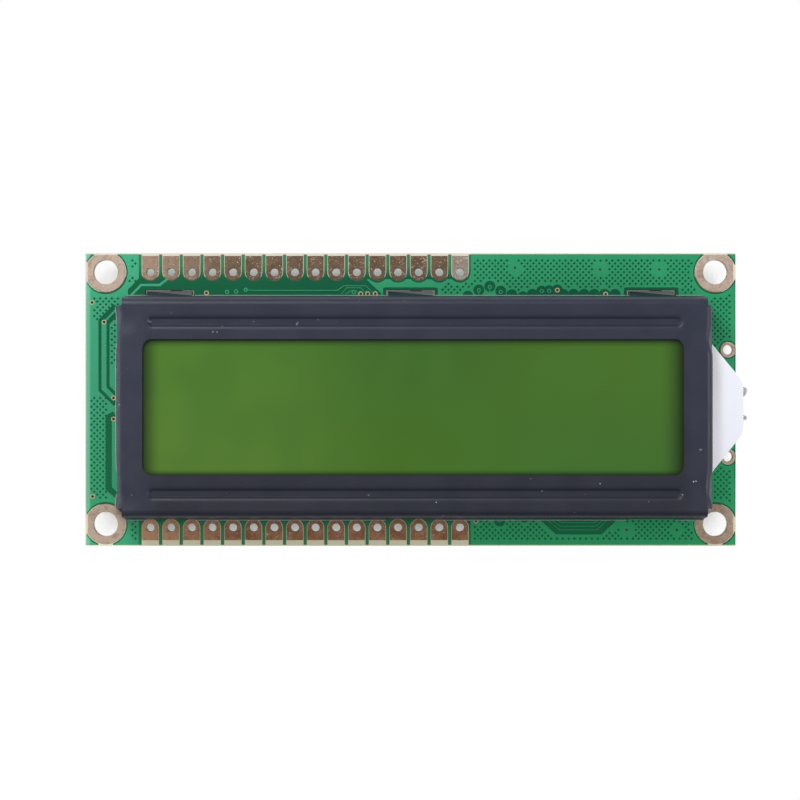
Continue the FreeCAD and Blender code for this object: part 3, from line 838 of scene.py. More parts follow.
# %% Face with window and grooves
def face_outline():
    """The flat part of the sheet. The long sides run a little past the short ones."""
    low, high = face_bottom + corner_gap, face_high - corner_gap
    long_left, long_right = face_left - overrun, face_right + overrun
    return [(long_left, face_bottom), (long_right, face_bottom), (long_right, low), (face_right, low),
            (face_right, high), (long_right, high), (long_right, face_high), (long_left, face_high),
            (long_left, high), (face_left, high), (face_left, low), (long_left, low)]


def groove_outline(y):
    r = groove_width / 2
    x0, x1 = face_left + groove_end + r, face_right - groove_end - r
    return arc(x0, y, r, 90, 270, 12) + arc(x1, y, r, -90, 90, 12)


def select_boundary(piece, chosen):
    """Selects the open edges whose two ends, in mm, satisfy the test, and nothing else."""
    bpy.ops.mesh.select_all(action="DESELECT")
    bm = bmesh.from_edit_mesh(piece.data)
    for e in bm.edges:
        if e.is_boundary and all(chosen(v.co / mm) for v in e.verts):
            e.select_set(True)
    bm.select_flush(True)
    bmesh.update_edit_mesh(piece.data)


outlines = [face_outline(), rounded(*window, 1.2, 8)] + [groove_outline(y) for y in grooves_y]
steel = flat_curve("front_frame_sheet", outlines)
steel.location.z = face_top * mm
settle(steel)
outward(steel)
edit(steel, "EDGE")
for y in grooves_y:
    select_boundary(steel, lambda p: abs(p.y - y) < groove_width / 2 + near and abs(p.x) < face_right - 2)
    bpy.ops.mesh.edge_face_add()
    for inwards, downwards in groove_steps:
        bpy.ops.mesh.inset(thickness=inwards * mm, depth=-downwards * mm)
close()
print("face", len(steel.data.polygons))


# %% Bends and walls
wall_rows = 10
long_cuts, short_cuts = 58, 81


def fold_wall(piece, axis_number, edge, out, flare, cuts):
    """Cuts the face's edge at this X (0) or Y (1) into short ones, spins the bend from them and draws the
    wall down. out is the way out of the face, flare how far the wall leans that way."""
    select_boundary(piece, lambda p: abs(p.z - face_top) < near and abs(p[axis_number] - edge) < near)
    bpy.ops.mesh.subdivide(number_cuts=cuts)
    lean = math.atan2(flare - lip, face_top - copper_top - bend_radius)
    turn = math.pi / 2 - lean
    bm = bmesh.from_edit_mesh(piece.data)
    start = next(v.co.copy() for v in bm.verts if v.select)
    axis = Vector((out[1], -out[0], 0))
    bpy.ops.mesh.spin(steps=8, angle=turn, center=start - Vector((0, 0, bend_radius * mm)), axis=axis)
    bm = bmesh.from_edit_mesh(piece.data)
    low = min(v.co.z for v in bm.verts if v.select)
    step = (low / mm - copper_top - lip) / wall_rows
    aside = step * math.tan(lean)
    for drop, shift in [(step, aside)] * wall_rows + [(lip, lip)]:
        move = (out[0] * shift * mm, out[1] * shift * mm, -drop * mm)
        bpy.ops.mesh.extrude_edges_move(TRANSFORM_OT_translate={"value": move})


edit(steel, "EDGE")
fold_wall(steel, 1, face_high, (0, 1), long_flare, long_cuts)
fold_wall(steel, 1, face_bottom, (0, -1), long_flare, long_cuts)
fold_wall(steel, 0, face_left, (-1, 0), left_flare, short_cuts)
fold_wall(steel, 0, face_right, (1, 0), right_flare, short_cuts)
close()
print("folded sheet", len(steel.data.polygons))

# %% [markdown]
# Openings in the walls: three low gaps in each long wall, where the tabs leave it, and the gap in the
# right wall that the light guide passes through. The wall is split along the opening's sides and its
# faces there are deleted, while the sheet still has no thickness, so the later rims are clean.

# %% Wall openings
def pick_faces(piece, wanted):
    """Selects the faces whose middle, in mm, satisfies the test."""
    bpy.ops.mesh.select_all(action="DESELECT")
    bm = bmesh.from_edit_mesh(piece.data)
    for face in bm.faces:
        face.select_set(wanted(face.calc_center_median() / mm))
    bmesh.update_edit_mesh(piece.data)


def open_wall(piece, on_wall, axis, start, end, high):
    """Opens a wall between start and end along the axis (0 for X, 1 for Y), from its foot up to high."""
    edit(piece)
    side = Vector((1 - axis, axis, 0))
    upwards = Vector((0, 0, 1))
    for place, normal in ((side * start, side), (side * end, side), (upwards * high, upwards)):
        pick_faces(piece, on_wall)
        bpy.ops.mesh.bisect(plane_co=place * mm, plane_no=normal)
    pick_faces(piece, lambda c: on_wall(c) and start < c[axis] < end and c.z < high)
    bpy.ops.mesh.delete(type="FACE")
    close()


gap_half, gap_height = slot_length / 2, 1.3
exit_low, exit_high = -10.27, 8.12
exit_top = box_mm("tip_cover_film")[1][2] + 0.2
bend_low = face_top - 1.2


def on_upper_wall(c):
    return c.z < bend_low and c.y > face_high


def on_lower_wall(c):
    return c.z < bend_low and c.y < face_bottom


def on_right_wall(c):
    return c.z < bend_low and c.x > face_right and face_bottom < c.y < face_high


for x in slot_x:
    for on_wall in (on_upper_wall, on_lower_wall):
        open_wall(steel, on_wall, 0, x - gap_half, x + gap_half, copper_top + gap_height)
open_wall(steel, on_right_wall, 1, exit_low, exit_high, exit_top)
print("walls opened", len(steel.data.polygons))

# %% [markdown]
# The short walls are pressed in near their ends, to hold the stack. Seen from above, the left wall's
# foot leaves its line slowly towards each pinch and comes back at once. The path gives how far in the
# foot is, and the dent fades towards the bend. The bends have shallow dents of their own.

# %% Pinches and thickness
left_foot = [(-13.7, 0.0), (-12.0, 0.12), (-11.7, 0.25), (-11.35, 0.58), (-10.6, 0.5), (-8.6, 0.16),
             (-7.0, 0.1), (5.6, 0.09), (6.7, 0.16), (7.0, 0.3), (7.35, 0.5), (8.0, 0.42), (10.0, 0.17),
             (11.4, 0.02)]
left_bend = [(-13.3, 0.0), (-12.3, 0.3), (-10.5, 0.16), (-9.0, 0.0), (7.0, 0.0), (9.0, 0.2), (10.3, 0.3),
             (11.2, 0.05)]
right_bend = [(-13.0, 0.0), (-11.6, 0.35), (-9.8, 0.25), (-8.6, 0.0), (5.0, 0.0), (7.0, 0.38), (9.2, 0.08),
              (11.0, 0.12)]
right_foot = [(-13.7, 0.12), (-11.5, 0.1), (-9.5, 0.18), (-7.9, 0.12), (-7.3, 0.0), (4.5, 0.0), (6.0, 0.14),
              (7.5, 0.08), (9.0, 0.12), (11.4, 0.05)]
lower_foot = 0.16


def along(path, y):
    """The value of a path of (place, value) pairs at y, with soft turns at the pairs."""
    for (y0, v0), (y1, v1) in zip(path, path[1:]):
        if y0 <= y <= y1:
            t = (y - y0) / (y1 - y0)
            return v0 + (v1 - v0) * t * t * (3 - 2 * t)
    return path[0][1] if y < path[0][0] else path[-1][1]


def form_walls(piece):
    """Dents the two short walls and leans the lower wall's foot a little further out."""
    for v in piece.data.vertices:
        x, y, z = (c / mm for c in v.co)
        down = min(1.0, max(0.0, (face_top - z) / (face_top - copper_top)))
        low_share = down**1.3
        bend_share = max(0.0, 1 - abs(down - 0.09) / 0.16)
        on_short = face_bottom < y < face_high
        if x < face_left - near and on_short:
            v.co.x += (along(left_foot, y) * low_share + along(left_bend, y) * bend_share) * mm
        if x > face_right + near and on_short:
            v.co.x -= (along(right_foot, y) * low_share + along(right_bend, y) * bend_share) * mm
        if y < face_bottom - near:
            v.co.y -= lower_foot * low_share * mm


form_walls(steel)
outward(steel)
modify(steel, "SOLIDIFY", thickness=sheet_thickness * mm, offset=-1)
print("sheet", len(steel.data.polygons), "size in mm", [round(v / mm, 2) for v in steel.dimensions])

# %% [markdown]
# The six tabs step from the wall to their slots, go through the board and end in twisted tongues. They
# are flat facets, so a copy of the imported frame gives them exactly: everything above the wall's gap is
# cut off it, and what stands beside the tabs goes too.

# %% Tabs
def tabs_of_frame():
    tabs = outward(copy_of_node("tabs", "front_frame"))
    half_x, half_y = 2.77, 1.1
    rooms = [prism("tab_room", rectangle(x - half_x, y - half_y, x + half_x, y + half_y), -2.0,
                   copper_top + gap_height + 0.05) for x in slot_x for y in (lower_slot_y, upper_slot_y)]
    return cut_by(tabs, rooms, "INTERSECT")


tabs = tabs_of_frame()
frame_piece = joined("front_frame_sheet", [steel, tabs])
soften(frame_piece, 0.05, 2, 38)
print("frame with tabs", len(frame_piece.data.polygons))

# %% [markdown]
# The paint is a dark blue grey, a little cloudy, with soft dents in the bends and small bright spots:
# chips that show bright steel, and painted highlights at the grooves' ends. Painted light makes it a
# little lighter towards the top and at both short ends, and painted shade makes the lower wall darker
# and duller. The foot's cut edge and the tabs are bare steel.

# %% Paint and bare steel
def spot(tree, place, x, y, z, radius, soft=0.5):
    """One inside a small round spot of this radius, in mm, fading to nothing outside it."""
    apart = add_node(tree, "VectorMath", {0: place, 1: (x * mm, y * mm, z * mm)}, operation="DISTANCE")
    return between(tree, apart.outputs["Value"], radius * (1 - soft) * mm, radius * (1 + soft) * mm, 1.0, 0.0)


# Bright spots in the paint: the first four, at the grooves' ends, are painted highlights; the rest are chips
# that show bright steel.
chips_and_groove_glints = [
    (-31.6, 9.3, 8.5, 0.09), (32.9, 9.5, 8.5, 0.07), (-32.0, -11.8, 8.5, 0.08), (32.9, -11.7, 8.5, 0.1),
    (34.2, -10.1, 8.66, 0.07), (34.5, -10.05, 8.66, 0.06), (-28.6, 9.6, 8.4, 0.05), (-23.9, 8.0, 8.66, 0.05),
    (-23.4, 8.0, 8.66, 0.045), (3.1, -12.6, 8.66, 0.05), (-7.5, -11.9, 8.5, 0.045),
    (22.9, -10.35, 8.66, 0.05),
]
bend_dents = [(35.7, 7.6, 7.9), (35.8, -11.0, 7.9), (-34.7, 9.4, 7.9), (-34.7, -12.4, 7.9)]


def painted_steel():
    material, tree, shader, place = new_material("stoved paint on sheet steel", Roughness=0.42, IOR=1.5)
    cloud = noise(tree, place, 6.0, 2.0)
    axes = split(tree, place)
    # Painted light: the paint is a little lighter towards the top and at the face's left and right ends.
    up = between(tree, axes["Y"], face_bottom * mm, window[3] * mm)
    base = blend_colours(tree, cloud, blend_colours(tree, up, "#232530", "#272b39"),
                         blend_colours(tree, up, "#282a36", "#2c3040"))
    base = blend_colours(tree, between(tree, axes["X"], -34 * mm, -29 * mm, 0.6, 0.0), base, "#323545")
    base = blend_colours(tree, between(tree, axes["X"], 33 * mm, 34.5 * mm, 0.0, 0.5), base, "#2e3142")
    # Painted shade: the lower wall is darker and less glossy.
    lower_wall_shade = between(tree, axes["Y"], (face_bottom - 0.9) * mm, (face_bottom + 0.1) * mm, 0.45, 0.0)
    base = blend_colours(tree, lower_wall_shade, base, "#12141a")
    tree.links.new(between(tree, lower_wall_shade, 0.0, 0.45, 0.35, 0.12), shader.inputs["Specular IOR Level"])
    speck = between(tree, noise(tree, place, 0.5, 0.0), 0.85, 0.88, 0.0, 0.6)
    base = blend_colours(tree, speck, base, "#7a7a84")
    chips_and_glints = total(tree, [spot(tree, place, x, y, z, r) for x, y, z, r in chips_and_groove_glints])
    base = blend_colours(tree, chips_and_glints, base, "#c4c4cc")
    tree.links.new(base, shader.inputs["Base Color"])
    tree.links.new(between(tree, noise(tree, place, 3.0), 0.3, 0.7, 0.38, 0.48), shader.inputs["Roughness"])
    dents = total(tree, [spot(tree, place, x, y, z, 1.2, 0.9) for x, y, z in bend_dents])
    waves = calculate(tree, "MULTIPLY", noise(tree, place, 9.0, 1.0), 0.35)
    grain = calculate(tree, "MULTIPLY", noise(tree, place, 0.22, 2.0), 0.02)
    height = calculate(tree, "SUBTRACT", calculate(tree, "ADD", waves, grain), dents)
    bump(tree, shader, height, 0.2)
    return material


cut_edge = plain("sheared edge of sheet steel", "#8f999f", "#aab3b9", 0.8, Metallic=0.4, Roughness=0.5)
bare_tab = plain("bare tab of sheet steel", "#5e6162", "#6b6e6e", 0.8, Metallic=0.1, Roughness=0.6)
dress(frame_piece, painted_steel(), cut_edge, bare_tab)
for face in frame_piece.data.polygons:
    centre = face.center / mm
    at_foot = abs(centre.z - copper_top) < lip + 0.01 and abs(face.normal.z) < 0.99
    in_slot_row = min(abs(centre.y - y) for y in (upper_slot_y, lower_slot_y)) < 0.45
    by_slot = min(abs(centre.x - x) for x in slot_x) < slot_length / 2
    on_tab = centre.z < copper_top + 0.5 and in_slot_row and by_slot
    face.material_index = 2 if on_tab else 1 if at_foot else 0
modify(frame_piece, "WEIGHTED_NORMAL", keep_sharp=True)
hold(frame_piece, "frame_steel", "front_frame")

# %% [markdown]
# The display is a cell of two glasses between two films. Unpowered, the rear film's yellow-green shows
# through everything. The front film's colour holds painted shade along the window's edges, most at the
# short ends, where the frame keeps light off the cell, and painted light that makes it lighter towards
# the left end. It is greener towards the top.

# %% Display films and glasses
def display_film():
    material, tree, shader, place = new_material("polarising film over the cell", Roughness=0.3, IOR=1.5)
    shader.inputs["Specular IOR Level"].default_value = 0.25
    axes = split(tree, place)
    x0, y0, x1, y1 = window
    across = between(tree, axes["X"], x0 * mm, x1 * mm)
    up = between(tree, axes["Y"], y0 * mm, y1 * mm)
    # Painted light: the tones are lighter towards the window's left end.
    left_green = blend_colours(tree, up, "#4e7229", "#487126")
    middle = blend_colours(tree, up, "#3e651c", "#386023")
    right_green = blend_colours(tree, up, "#3a6326", "#41661f")
    base = blend_colours(tree, between(tree, across, 0.0, 0.5), left_green, middle)
    base = blend_colours(tree, between(tree, across, 0.5, 1.0), base, right_green)
    cloud = noise(tree, place, 9.0, 1.0)
    base = blend_colours(tree, between(tree, cloud, 0.4, 0.65, 0.0, 0.5), base, "#3e6826")
    # Painted shade along the window's edges.
    shades = [(axes["X"], x0 - 0.6, x0 + 2.4), (axes["X"], x1 + 0.7, x1 - 2.9),
              (axes["Y"], y1 + 0.2, y1 - 1.1), (axes["Y"], y0 - 0.2, y0 + 0.8)]
    for axis, edge, inner in shades:
        base = blend_colours(tree, between(tree, axis, edge * mm, inner * mm), "#1d2c15", base)
    tree.links.new(base, shader.inputs["Base Color"])
    bump(tree, shader, noise(tree, place, 0.35, 1.0), 0.002)
    return material


def tip_film_material():
    material, tree, shader, place = new_material("matt white film over the tip", Roughness=0.6)
    # Painted light: the film is lighter next to the frame, against the shade that the frame casts on it.
    painted_light_by_frame = between(tree, split(tree, place)["X"], 36.2 * mm, 39.5 * mm, 1.0, 0.0)
    tone = blend_colours(tree, painted_light_by_frame, "#dddfe9", "#fcfcff")
    cloud = between(tree, noise(tree, place, 4.0), 0.3, 0.7, 0.0, 0.2)
    tree.links.new(blend_colours(tree, cloud, tone, "#dfe1eb"), shader.inputs["Base Color"])
    return material


cell_glass = plain("soda-lime cell glass", "#c4d6b4", "#cfdec0", 8.0, Roughness=0.05, IOR=1.52)
cell_glass.node_tree.nodes["Principled BSDF"].inputs["Transmission Weight"].default_value = 0.6
rear_film = plain("yellow-green transflective film", "#84ad3e", "#90b646", 6.0, Roughness=0.4)
rubber = plain("striped silicone elastomer", "#a98a8c", "#bfa0a0", 0.5, Roughness=0.75)
resin = plain("cured clear resin", "#d8d3ae", "#e4dfc0", 1.0, Roughness=0.3)
white_film = plain("matt white film", "#dbdde7", "#dee0ea", 4.0, Roughness=0.6)
tip_film = tip_film_material()
milky = plain("moulded milky acrylic", "#d9dce6", "#e2e4ec", 5.0, Roughness=0.3, IOR=1.49)
lamp_resin = plain("cast lamp resin", "#c9d29a", "#d6dcae", 1.0, Roughness=0.25)
tinned_steel = plain("tinned steel lead", "#a5a5a2", "#c6c6c4", 0.6, Metallic=1.0, Roughness=0.35)
solder_tin = plain("set solder", "#b4b6ba", "#c8cace", 0.5, Metallic=1.0, Roughness=0.3)
carried = {
    "front_polariser": display_film(), "front_glass": cell_glass, "rear_glass": cell_glass,
    "rear_polariser": rear_film, "diffuser_sheet": white_film, "upper_contact_strip": rubber,
    "lower_contact_strip": rubber, "fill_port_seal": resin,
}
for name, material in carried.items():
    dress(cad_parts[name], material)
print("carried nodes dressed", len(carried))

# %% [markdown]
# The tip of the light guide is a flat plate with a tapered end, a film over it and one under it. Each is
# a copy of its node, merged. The three were trimmed together, and the trim has soft corners at the end,
# so all are cut by one outline. Then their edges are rounded.

# %% Rounded copies of plain nodes
tip_outline = [(-36, 9.2), (-36, -11.4), (34.86, -11.4), (39.59, -5.44), (39.95, -5.0), (40.28, -4.5),
               (40.5, -4.0), (40.56, -3.6), (40.56, 1.1), (40.5, 1.55), (40.33, 2.0), (40.05, 2.5),
               (39.6, 3.12), (34.55, 9.2)]


def rounded_copy(node, width, material, slot, segments=2, trim=None):
    """A copy of the node with its flat faces made whole and its edges rounded, cut by the trim if given."""
    piece = outward(copy_of_node(node + "_rounded", node))
    if trim:
        cut_by(piece, [prism("trim", trim, 1.0, 6.0)], "INTERSECT")
    edit(piece, action="SELECT")
    bpy.ops.mesh.dissolve_limited(angle_limit=math.radians(1))
    close()
    soften(piece, width, segments)
    return hold(dress(piece, material), slot, node)


rounded_copy("light_guide", 0.1, milky, "guide_acrylic", trim=tip_outline)
rounded_copy("backlight_lamp", 0.05, lamp_resin, "lamp_resin", trim=tip_outline)
rounded_copy("tip_cover_film", 0.05, tip_film, "white_film", trim=tip_outline)
rounded_copy("reflector_film", 0.03, white_film, "white_film", trim=tip_outline)
rounded_copy("lamp_solder_joints", 0.15, solder_tin, "solder", 3)

# %% [markdown]
# The lamp's two leads were bent by hand: out of the tip, round the board's edge and under it to their
# joints. Each is a smooth curve through its bends, given the wire's thickness and made a mesh. Seen from
# above the upper one is a wide hook and the lower one a short point.

# %% Lamp leads
wire_radius = 0.21
upper_lead = [(39.9, 1.2, 3.45), (40.6, 1.2, 3.45), (41.05, 1.1, 3.1), (41.12, 0.75, 2.3), (41.0, 0.4, 1.6),
              (40.75, 0.25, 1.0), (40.5, 0.35, 0.3), (40.4, 0.7, -0.15), (39.9, 0.98, -0.3),
              (38.45, 1.02, -0.3)]
lower_lead = [(39.9, -2.2, 3.45), (40.6, -2.2, 3.45), (41.0, -2.35, 3.2), (41.13, -2.5, 2.5),
              (41.0, -2.55, 1.7), (40.75, -2.45, 0.9), (40.45, -2.35, 0.2), (40.3, -2.3, -0.2),
              (39.9, -2.28, -0.3), (38.45, -2.28, -0.3)]


def bent_wire(name, points):
    curve = bpy.data.curves.new(name, "CURVE")
    curve.dimensions = "3D"
    curve.bevel_depth = wire_radius * mm
    curve.bevel_resolution = 3
    curve.use_fill_caps = True
    spline = curve.splines.new("NURBS")
    spline.points.add(len(points) - 1)
    for point, (x, y, z) in zip(spline.points, points):
        point.co = (x * mm, y * mm, z * mm, 1)
    spline.order_u = 3
    spline.resolution_u = 6
    spline.use_endpoint_u = True
    only(linked(name, curve))
    bpy.ops.object.convert(target="MESH")
    return shade(outward(bpy.context.object), 40)


for node, points in (("upper_lamp_lead", upper_lead), ("lower_lamp_lead", lower_lead)):
    hold(dress(bent_wire(node + "_wire", points), tinned_steel), "tinned_lead", node)

# %% [markdown]
# The rear carries two bare chips, each sealed under a drop of black resin. A drop is a solid of
# revolution: half its outline is drawn as edges and spun about its axis.

# %% Resin covers
def resin_cover(node, name):
    low, high = box_mm(node)
    x, y = (low[0] + high[0]) / 2, (low[1] + high[1]) / 2
    radius, height = (high[0] - low[0]) / 2, -low[2]
    profile = [(0.0, height), (0.25, height * 0.99), (0.5, height * 0.92), (0.72, height * 0.78),
               (0.88, height * 0.52), (0.96, height * 0.26), (1.0, 0.0)]
    mesh = bpy.data.meshes.new(name)
    mesh.from_pydata([((x + r * radius) * mm, y * mm, -h * mm) for r, h in profile],
                     [(i, i + 1) for i in range(len(profile) - 1)], [])
    piece = linked(name, mesh)
    edit(piece, "VERT", "SELECT")
    bpy.ops.mesh.spin(steps=64, angle=2 * math.pi, center=(x * mm, y * mm, 0), axis=(0, 0, 1))
    bpy.ops.mesh.select_all(action="SELECT")
    bpy.ops.mesh.remove_doubles(threshold=merge_distance)
    bpy.ops.mesh.select_all(action="DESELECT")
    bpy.ops.mesh.select_non_manifold()
    bpy.ops.mesh.edge_face_add()
    close()
    shade(outward(piece), 50)
    return hold(dress(piece, black_resin), "cover_resin", node)


def resin_material():
    material, tree, shader, place = new_material("black cast epoxy", Roughness=0.35, IOR=1.55)
    base = blend_colours(tree, noise(tree, place, 3.0), "#17171a", "#1e1e21")
    tree.links.new(base, shader.inputs["Base Color"])
    bump(tree, shader, noise(tree, place, 1.2, 2.0), 0.03)
    return material


black_resin = resin_material()
resin_cover("controller_cover", "controller_resin")
resin_cover("driver_cover", "driver_resin")

# %% [markdown]
# Chip parts are small ceramic bricks with tinned ends. A copy of each node gets rounded edges, and the
# faces near its two ends get the tin.

# %% Chip parts
black_ceramic = plain("black glazed ceramic", "#1b1b1e", "#242428", 0.6, Roughness=0.4)
tan_ceramic = plain("tan capacitor ceramic", "#8f6f4e", "#a07f5c", 0.6, Roughness=0.45)
cap_length = 0.42


def chip_part(node, body, slot):
    """A rounded copy of a chip part, with tin on the faces near its two ends along Y."""
    piece = rounded_copy(node, 0.05, body, slot)
    piece.data.materials.append(solder_tin)
    low, high = box_mm(node)
    for face in piece.data.polygons:
        y = face.center.y / mm
        face.material_index = 1 if min(y - low[1], high[1] - y) < cap_length - 0.01 else 0


resistors = [f"chip_resistor_{i}" for i in range(1, 9)]
capacitors = [f"chip_capacitor_{i}" for i in range(1, 5)]
for node in resistors:
    chip_part(node, black_ceramic, "chip_ceramic")
for node in capacitors:
    chip_part(node, tan_ceramic, "capacitor_ceramic")

# %% [markdown]
# The rear is the working side. The photo doesn't show it, so it has what the rear of every such module
# has: mask with round pads at the pins, lands under the chip parts and the leads' joints, a copper plane
# round the edge, and tracks from the two sealed chips to the pins, to each other and to the display.

# %% Rear mask and pads
rear_pad_radius = 0.85


def ends_of(nodes):
    """Middle of each chip part's two ends, with the direction out of the end along Y."""
    ends = []
    for node in nodes:
        low, high = box_mm(node)
        x = (low[0] + high[0]) / 2
        ends += [(x, low[1], -1), (x, high[1], 1)]
    return ends


def land(x, y, half_x, half_y):
    return rounded(x - half_x, y - half_y, x + half_x, y + half_y, 0.1, 3)


chip_ends = ends_of(resistors + capacitors)
joints_low, joints_high = box_mm("lamp_solder_joints")
joints_x = 38.7
lamp_lands = [(joints_x, joints_low[1] + 0.75), (joints_x, joints_high[1] - 0.75)]
lands = [(x, y, 0.7, 0.36) for x, y, out in chip_ends] + [(x, y, 0.85, 0.85) for x, y in lamp_lands]
outlines = mask_outlines(False) + contact_openings + slots(0.0)
outlines += [circle(x, y, rear_pad_radius + mask_gap, 24) for x, y in pins]
outlines += [land(x, y, half_x + mask_gap, half_y + mask_gap) for x, y, half_x, half_y in lands]
hold(dress(sheet("solder_mask_rear", outlines, -mask_thickness, 0.004), mask_on_laminate), "board")

rear_copper = board_low[2]
outlines = [circle(x, y, r, 28) for x, y in pins for r in (rear_pad_radius, pin_hole_radius)]
outlines += contact_rings + ring_outlines
hold(dress(sheet("rear_pads", outlines, rear_copper, 0.0, 0.02), ring_tarnish), "tinned_lead")
outlines = [land(*measures) for measures in lands]
hold(dress(sheet("rear_lands", outlines, -0.04, 0.0, 0.015), solder_tin), "solder")

# %% Rear plane and tracks
rear_gap = 0.3
slot_gaps = slot_surrounds(3.35, 0.7, 0.2)
ring_turns = {(sx, sy): ring_paths(sx, sy, ring_radius + rear_gap, ring_strip)[0]
              for sx in (-1, 1) for sy in (-1, 1)}
wired_pins = pins_x[3:11]
plane_top, plane_low, plane_left, plane_right = 11.7, -12.8, -31.0, 36.0
wired_left, wired_right = wired_pins[0] - 1.35, wired_pins[-1] + 1.35
lower_plane = (ring_turns[-1, -1] + list(reversed(ring_turns[1, -1]))
               + [(mask_right, -9.0), (plane_right, -9.0), (plane_right, plane_low), (plane_left, plane_low),
                  (plane_left, plane_top), (wired_left, plane_top), (wired_left, mask_top)]
               + list(reversed(ring_turns[-1, 1])))
upper_plane = ring_turns[1, 1] + [(wired_right, mask_top), (wired_right, plane_top),
                                  (plane_right, plane_top), (plane_right, 7.6), (mask_right, 7.6)]
pin_gaps = [circle(x, y, rear_pad_radius + rear_gap, 24) for x, y in pins if y < 0 or x not in wired_pins]
rear_low, rear_high = -0.045, -0.004
rear_plane = sheet("rear_plane", [lower_plane, upper_plane] + pin_gaps + slot_gaps, rear_low, rear_high)


def fan(middle, start_pitch, start_y, end_middle, end_pitch, end_y, count):
    """Tracks that leave a chip close together and spread to a row: straight, slanted, straight."""
    made = []
    for i in range(count):
        step = i - (count - 1) / 2
        x0, x1 = middle + step * start_pitch, end_middle + step * end_pitch
        knee = start_y + (end_y - start_y) * 0.3
        made.append([(x0, start_y), (x0, knee), (x1, end_y - (end_y - start_y) * 0.25), (x1, end_y)])
    return made


cover_x, cover_y, cover_radius = -13.0, 1.0, 8.0
driver_x = 15.0
to_pins = fan(cover_x, 1.25, 7.6, sum(wired_pins) / len(wired_pins), pin_pitch, 14.8, len(wired_pins))
to_display = (fan(cover_x, 0.85, -6.2, cover_x, 2.15, -11.6, 12)
              + fan(driver_x, 0.85, 7.2, driver_x, 2.1, 10.7, 9)
              + fan(driver_x, 0.85, -5.2, 12.5, 1.9, -11.2, 9))
between_chips = [[(-6.0, y), (-1.0, y), (1.0, y - 0.9), (9.0, y - 0.9)]
                 for y in (-1.2, -0.3, 0.6, 1.5, 2.4, 3.3)]
to_capacitors = [[(x, y), (cover_x - math.sqrt(cover_radius**2 - (y - cover_y)**2) + 0.6, y)]
                 for x, y, out in ends_of(capacitors)]
resistors_x = [x for x, y, out in ends_of(resistors[:4])[::2]]
to_resistors = [[(x, -5.0), (x, -3.6 + 0.8 * i), (driver_x + 6.0, -3.6 + 0.8 * i)]
                for i, x in enumerate(resistors_x)]
for y0, y1 in ((-9.2, -7.0), (-11.2, -13.0)):
    to_resistors += [[(x, y0), (x, y1)] for x in resistors_x]
to_lamp = [[(joints_x, y), (36.9, y + 1.8 * s), (36.9, end_y - 1.2 * s), (38.1, end_y)]
           for (x, y), end_y, s in zip(lamp_lands, contacts_y, (-1, 1))]
rear_tracks = [(points, 0.2) for points in to_pins + to_display + between_chips + to_resistors]
rear_tracks += [(points, 0.35) for points in to_capacitors] + [(points, 0.6) for points in to_lamp]
rear_strips = [sheet("rear_track", [strip(points, width)], rear_low, rear_high)
               for points, width in rear_tracks]
hold(dress(joined("rear_copper", [rear_plane] + rear_strips), mask_on_copper), "board")
row_ends = [points[-1] for points in to_display]
outlines = [circle(x, y, r, 16) for x, y in row_ends for r in (0.36, 0.15)]
hold(dress(sheet("rear_vias", outlines, -0.05, 0.0, 0.012), mask_on_copper), "board")
# The rear vias' holes are dark discs of painted shade too.
outlines = [circle(x, y, 0.15, 12) for x, y in row_ends]
hold(dress(sheet("rear_via_bores", outlines, -0.02, 0.0), via_bore_shade), "board")
print("rear tracks", len(rear_tracks))

# %% [markdown]
# Solder climbs each tinned end of a chip part in a hollow slope. One fillet is drawn out of its foot in
# three steps that draw back towards the end, and copied to all ends.

# %% Chip fillets
def solder_fillet():
    """A fillet against an end that faces +Y, at the origin."""
    piece = flat_curve("chip_fillets", [rounded(-0.6, -0.03, 0.6, 0.33, 0.08, 3)])
    edit(piece, action="SELECT")
    for drop, share in ((0.08, 0.75), (0.1, 0.6), (0.17, 0.35)):
        bpy.ops.mesh.extrude_region_move(TRANSFORM_OT_translate={"value": (0, 0, -drop * mm)})
        bpy.ops.transform.resize(value=(0.98, share, 1.0), center_override=(0, 0, 0))
    close()
    return outward(piece)


fillet = solder_fillet()
copies = []
for x, y, out in chip_ends:
    copy = linked("fillet", fillet.data.copy())
    copy.location = (x * mm, y * mm, 0)
    copy.rotation_euler.z = 0 if out > 0 else math.pi
    copies.append(copy)
fillets = shade(settle(joined("chip_fillets", copies)), 60)
bpy.data.objects.remove(fillet)
hold(dress(fillets, solder_tin), "solder")

# %% [markdown]
# The stage: a pale floor under the part, a white world that metal reflects, three soft lamps with the
# strongest at the upper left, and the camera straight above, as in the photograph. The world is darker
# overhead, where a studio has its ceiling, so flat faces keep their colour and slopes catch the light.

# %% Floor and world
def rays_seen(tree, path):
    """One for rays that show the background: straight to the camera, mirrored or through glass."""
    seen = path["Is Camera Ray"]
    for kind in ("Is Glossy Ray", "Is Transmission Ray"):
        seen = calculate(tree, "MAXIMUM", seen, path[kind])
    return seen


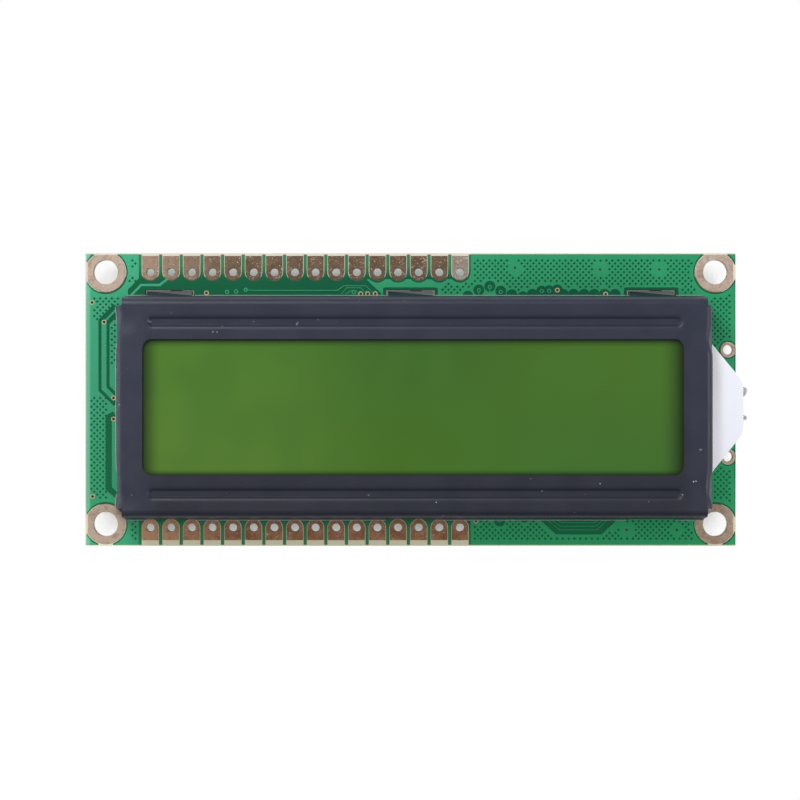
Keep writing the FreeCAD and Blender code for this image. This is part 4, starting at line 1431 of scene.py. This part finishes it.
def make_floor():
    bpy.ops.mesh.primitive_grid_add(size=3.0, x_subdivisions=2, y_subdivisions=2,
                                    location=(0, 0, cad_box[0].z - 0.02 * mm))
    floor = settle(bpy.context.object)
    floor.name = "floor"
    material = bpy.data.materials.new("white paper sweep")
    material.use_nodes = True
    tree = material.node_tree
    tree.nodes.clear()
    path = add_node(tree, "LightPath").outputs
    paper = add_node(tree, "BsdfDiffuse", {"Color": linear("#f6f6f6")}).outputs["BSDF"]
    glow = add_node(tree, "Emission", {"Color": linear("#ffffff"), "Strength": 1.0}).outputs["Emission"]
    open_sky = add_node(tree, "AmbientOcclusion", {"Distance": 6 * mm}, samples=8).outputs["AO"]
    share = between(tree, open_sky, 0.21, 0.31, 0.1, 1.0)
    seen = calculate(tree, "MULTIPLY", rays_seen(tree, path), share)
    mixed = add_node(tree, "MixShader", {0: seen, 1: paper, 2: glow}).outputs[0]
    add_node(tree, "OutputMaterial", {"Surface": mixed})
    dress(floor, material)


def make_world():
    world = bpy.data.worlds.new("studio")
    bpy.context.scene.world = world
    world.use_nodes = True
    tree = world.node_tree
    tree.nodes.clear()
    path = add_node(tree, "LightPath").outputs
    direction = add_node(tree, "TexCoord").outputs["Generated"]
    axes = split(tree, direction)
    overhead = between(tree, axes["Z"], 0.55, 0.98)
    to_left = calculate(tree, "MULTIPLY", axes["X"], -0.5)
    to_back = calculate(tree, "MULTIPLY", axes["Y"], 0.1)
    around = add_node(tree, "Math", {0: total(tree, [to_left, to_back]), 1: 0.2}, operation="ADD",
                      use_clamp=True).outputs[0]
    reflected = between(tree, overhead, 0.0, 1.0, around, 0.2)
    strength = between(tree, path["Is Camera Ray"], 0.0, 1.0, reflected, 1.0)
    white, light = [add_node(tree, "Background", {"Color": linear("#ffffff"), "Strength": power}).outputs[0]
                    for power in (strength, 0.62)]
    mixed = add_node(tree, "MixShader", {0: rays_seen(tree, path), 1: light, 2: white}).outputs[0]
    add_node(tree, "OutputWorld", {"Surface": mixed})


def softbox(name, place, size, power):
    """A square lamp that faces the middle of the board."""
    lamp = bpy.data.lights.new(name, "AREA")
    lamp.shape = "SQUARE"
    lamp.size = size
    lamp.energy = power
    piece = linked(name, lamp)
    piece.location = place
    piece.rotation_euler = (-Vector(place)).to_track_quat("-Z", "Y").to_euler()


make_floor()
make_world()
softbox("key", (-0.15, 0.25, 0.34), 0.14, 1.1)
softbox("fill", (0.4, -0.06, 0.28), 0.25, 0.85)
softbox("left_light", (-0.36, 0.02, 0.07), 0.14, 0.2)
print("stage made")

# %% Camera
camera_height = 400
pixels_per_mm = 8.129
image_width = 800
camera = bpy.data.cameras.new("camera")
camera.sensor_width = 36.0
camera.lens = camera.sensor_width * pixels_per_mm * camera_height / image_width
camera_piece = linked("camera", camera)
camera_piece.location = Vector((-1.287, -0.229, camera_height + copper_top)) * mm
bpy.context.scene.camera = camera_piece
bpy.context.scene.view_settings.view_transform = "Standard"
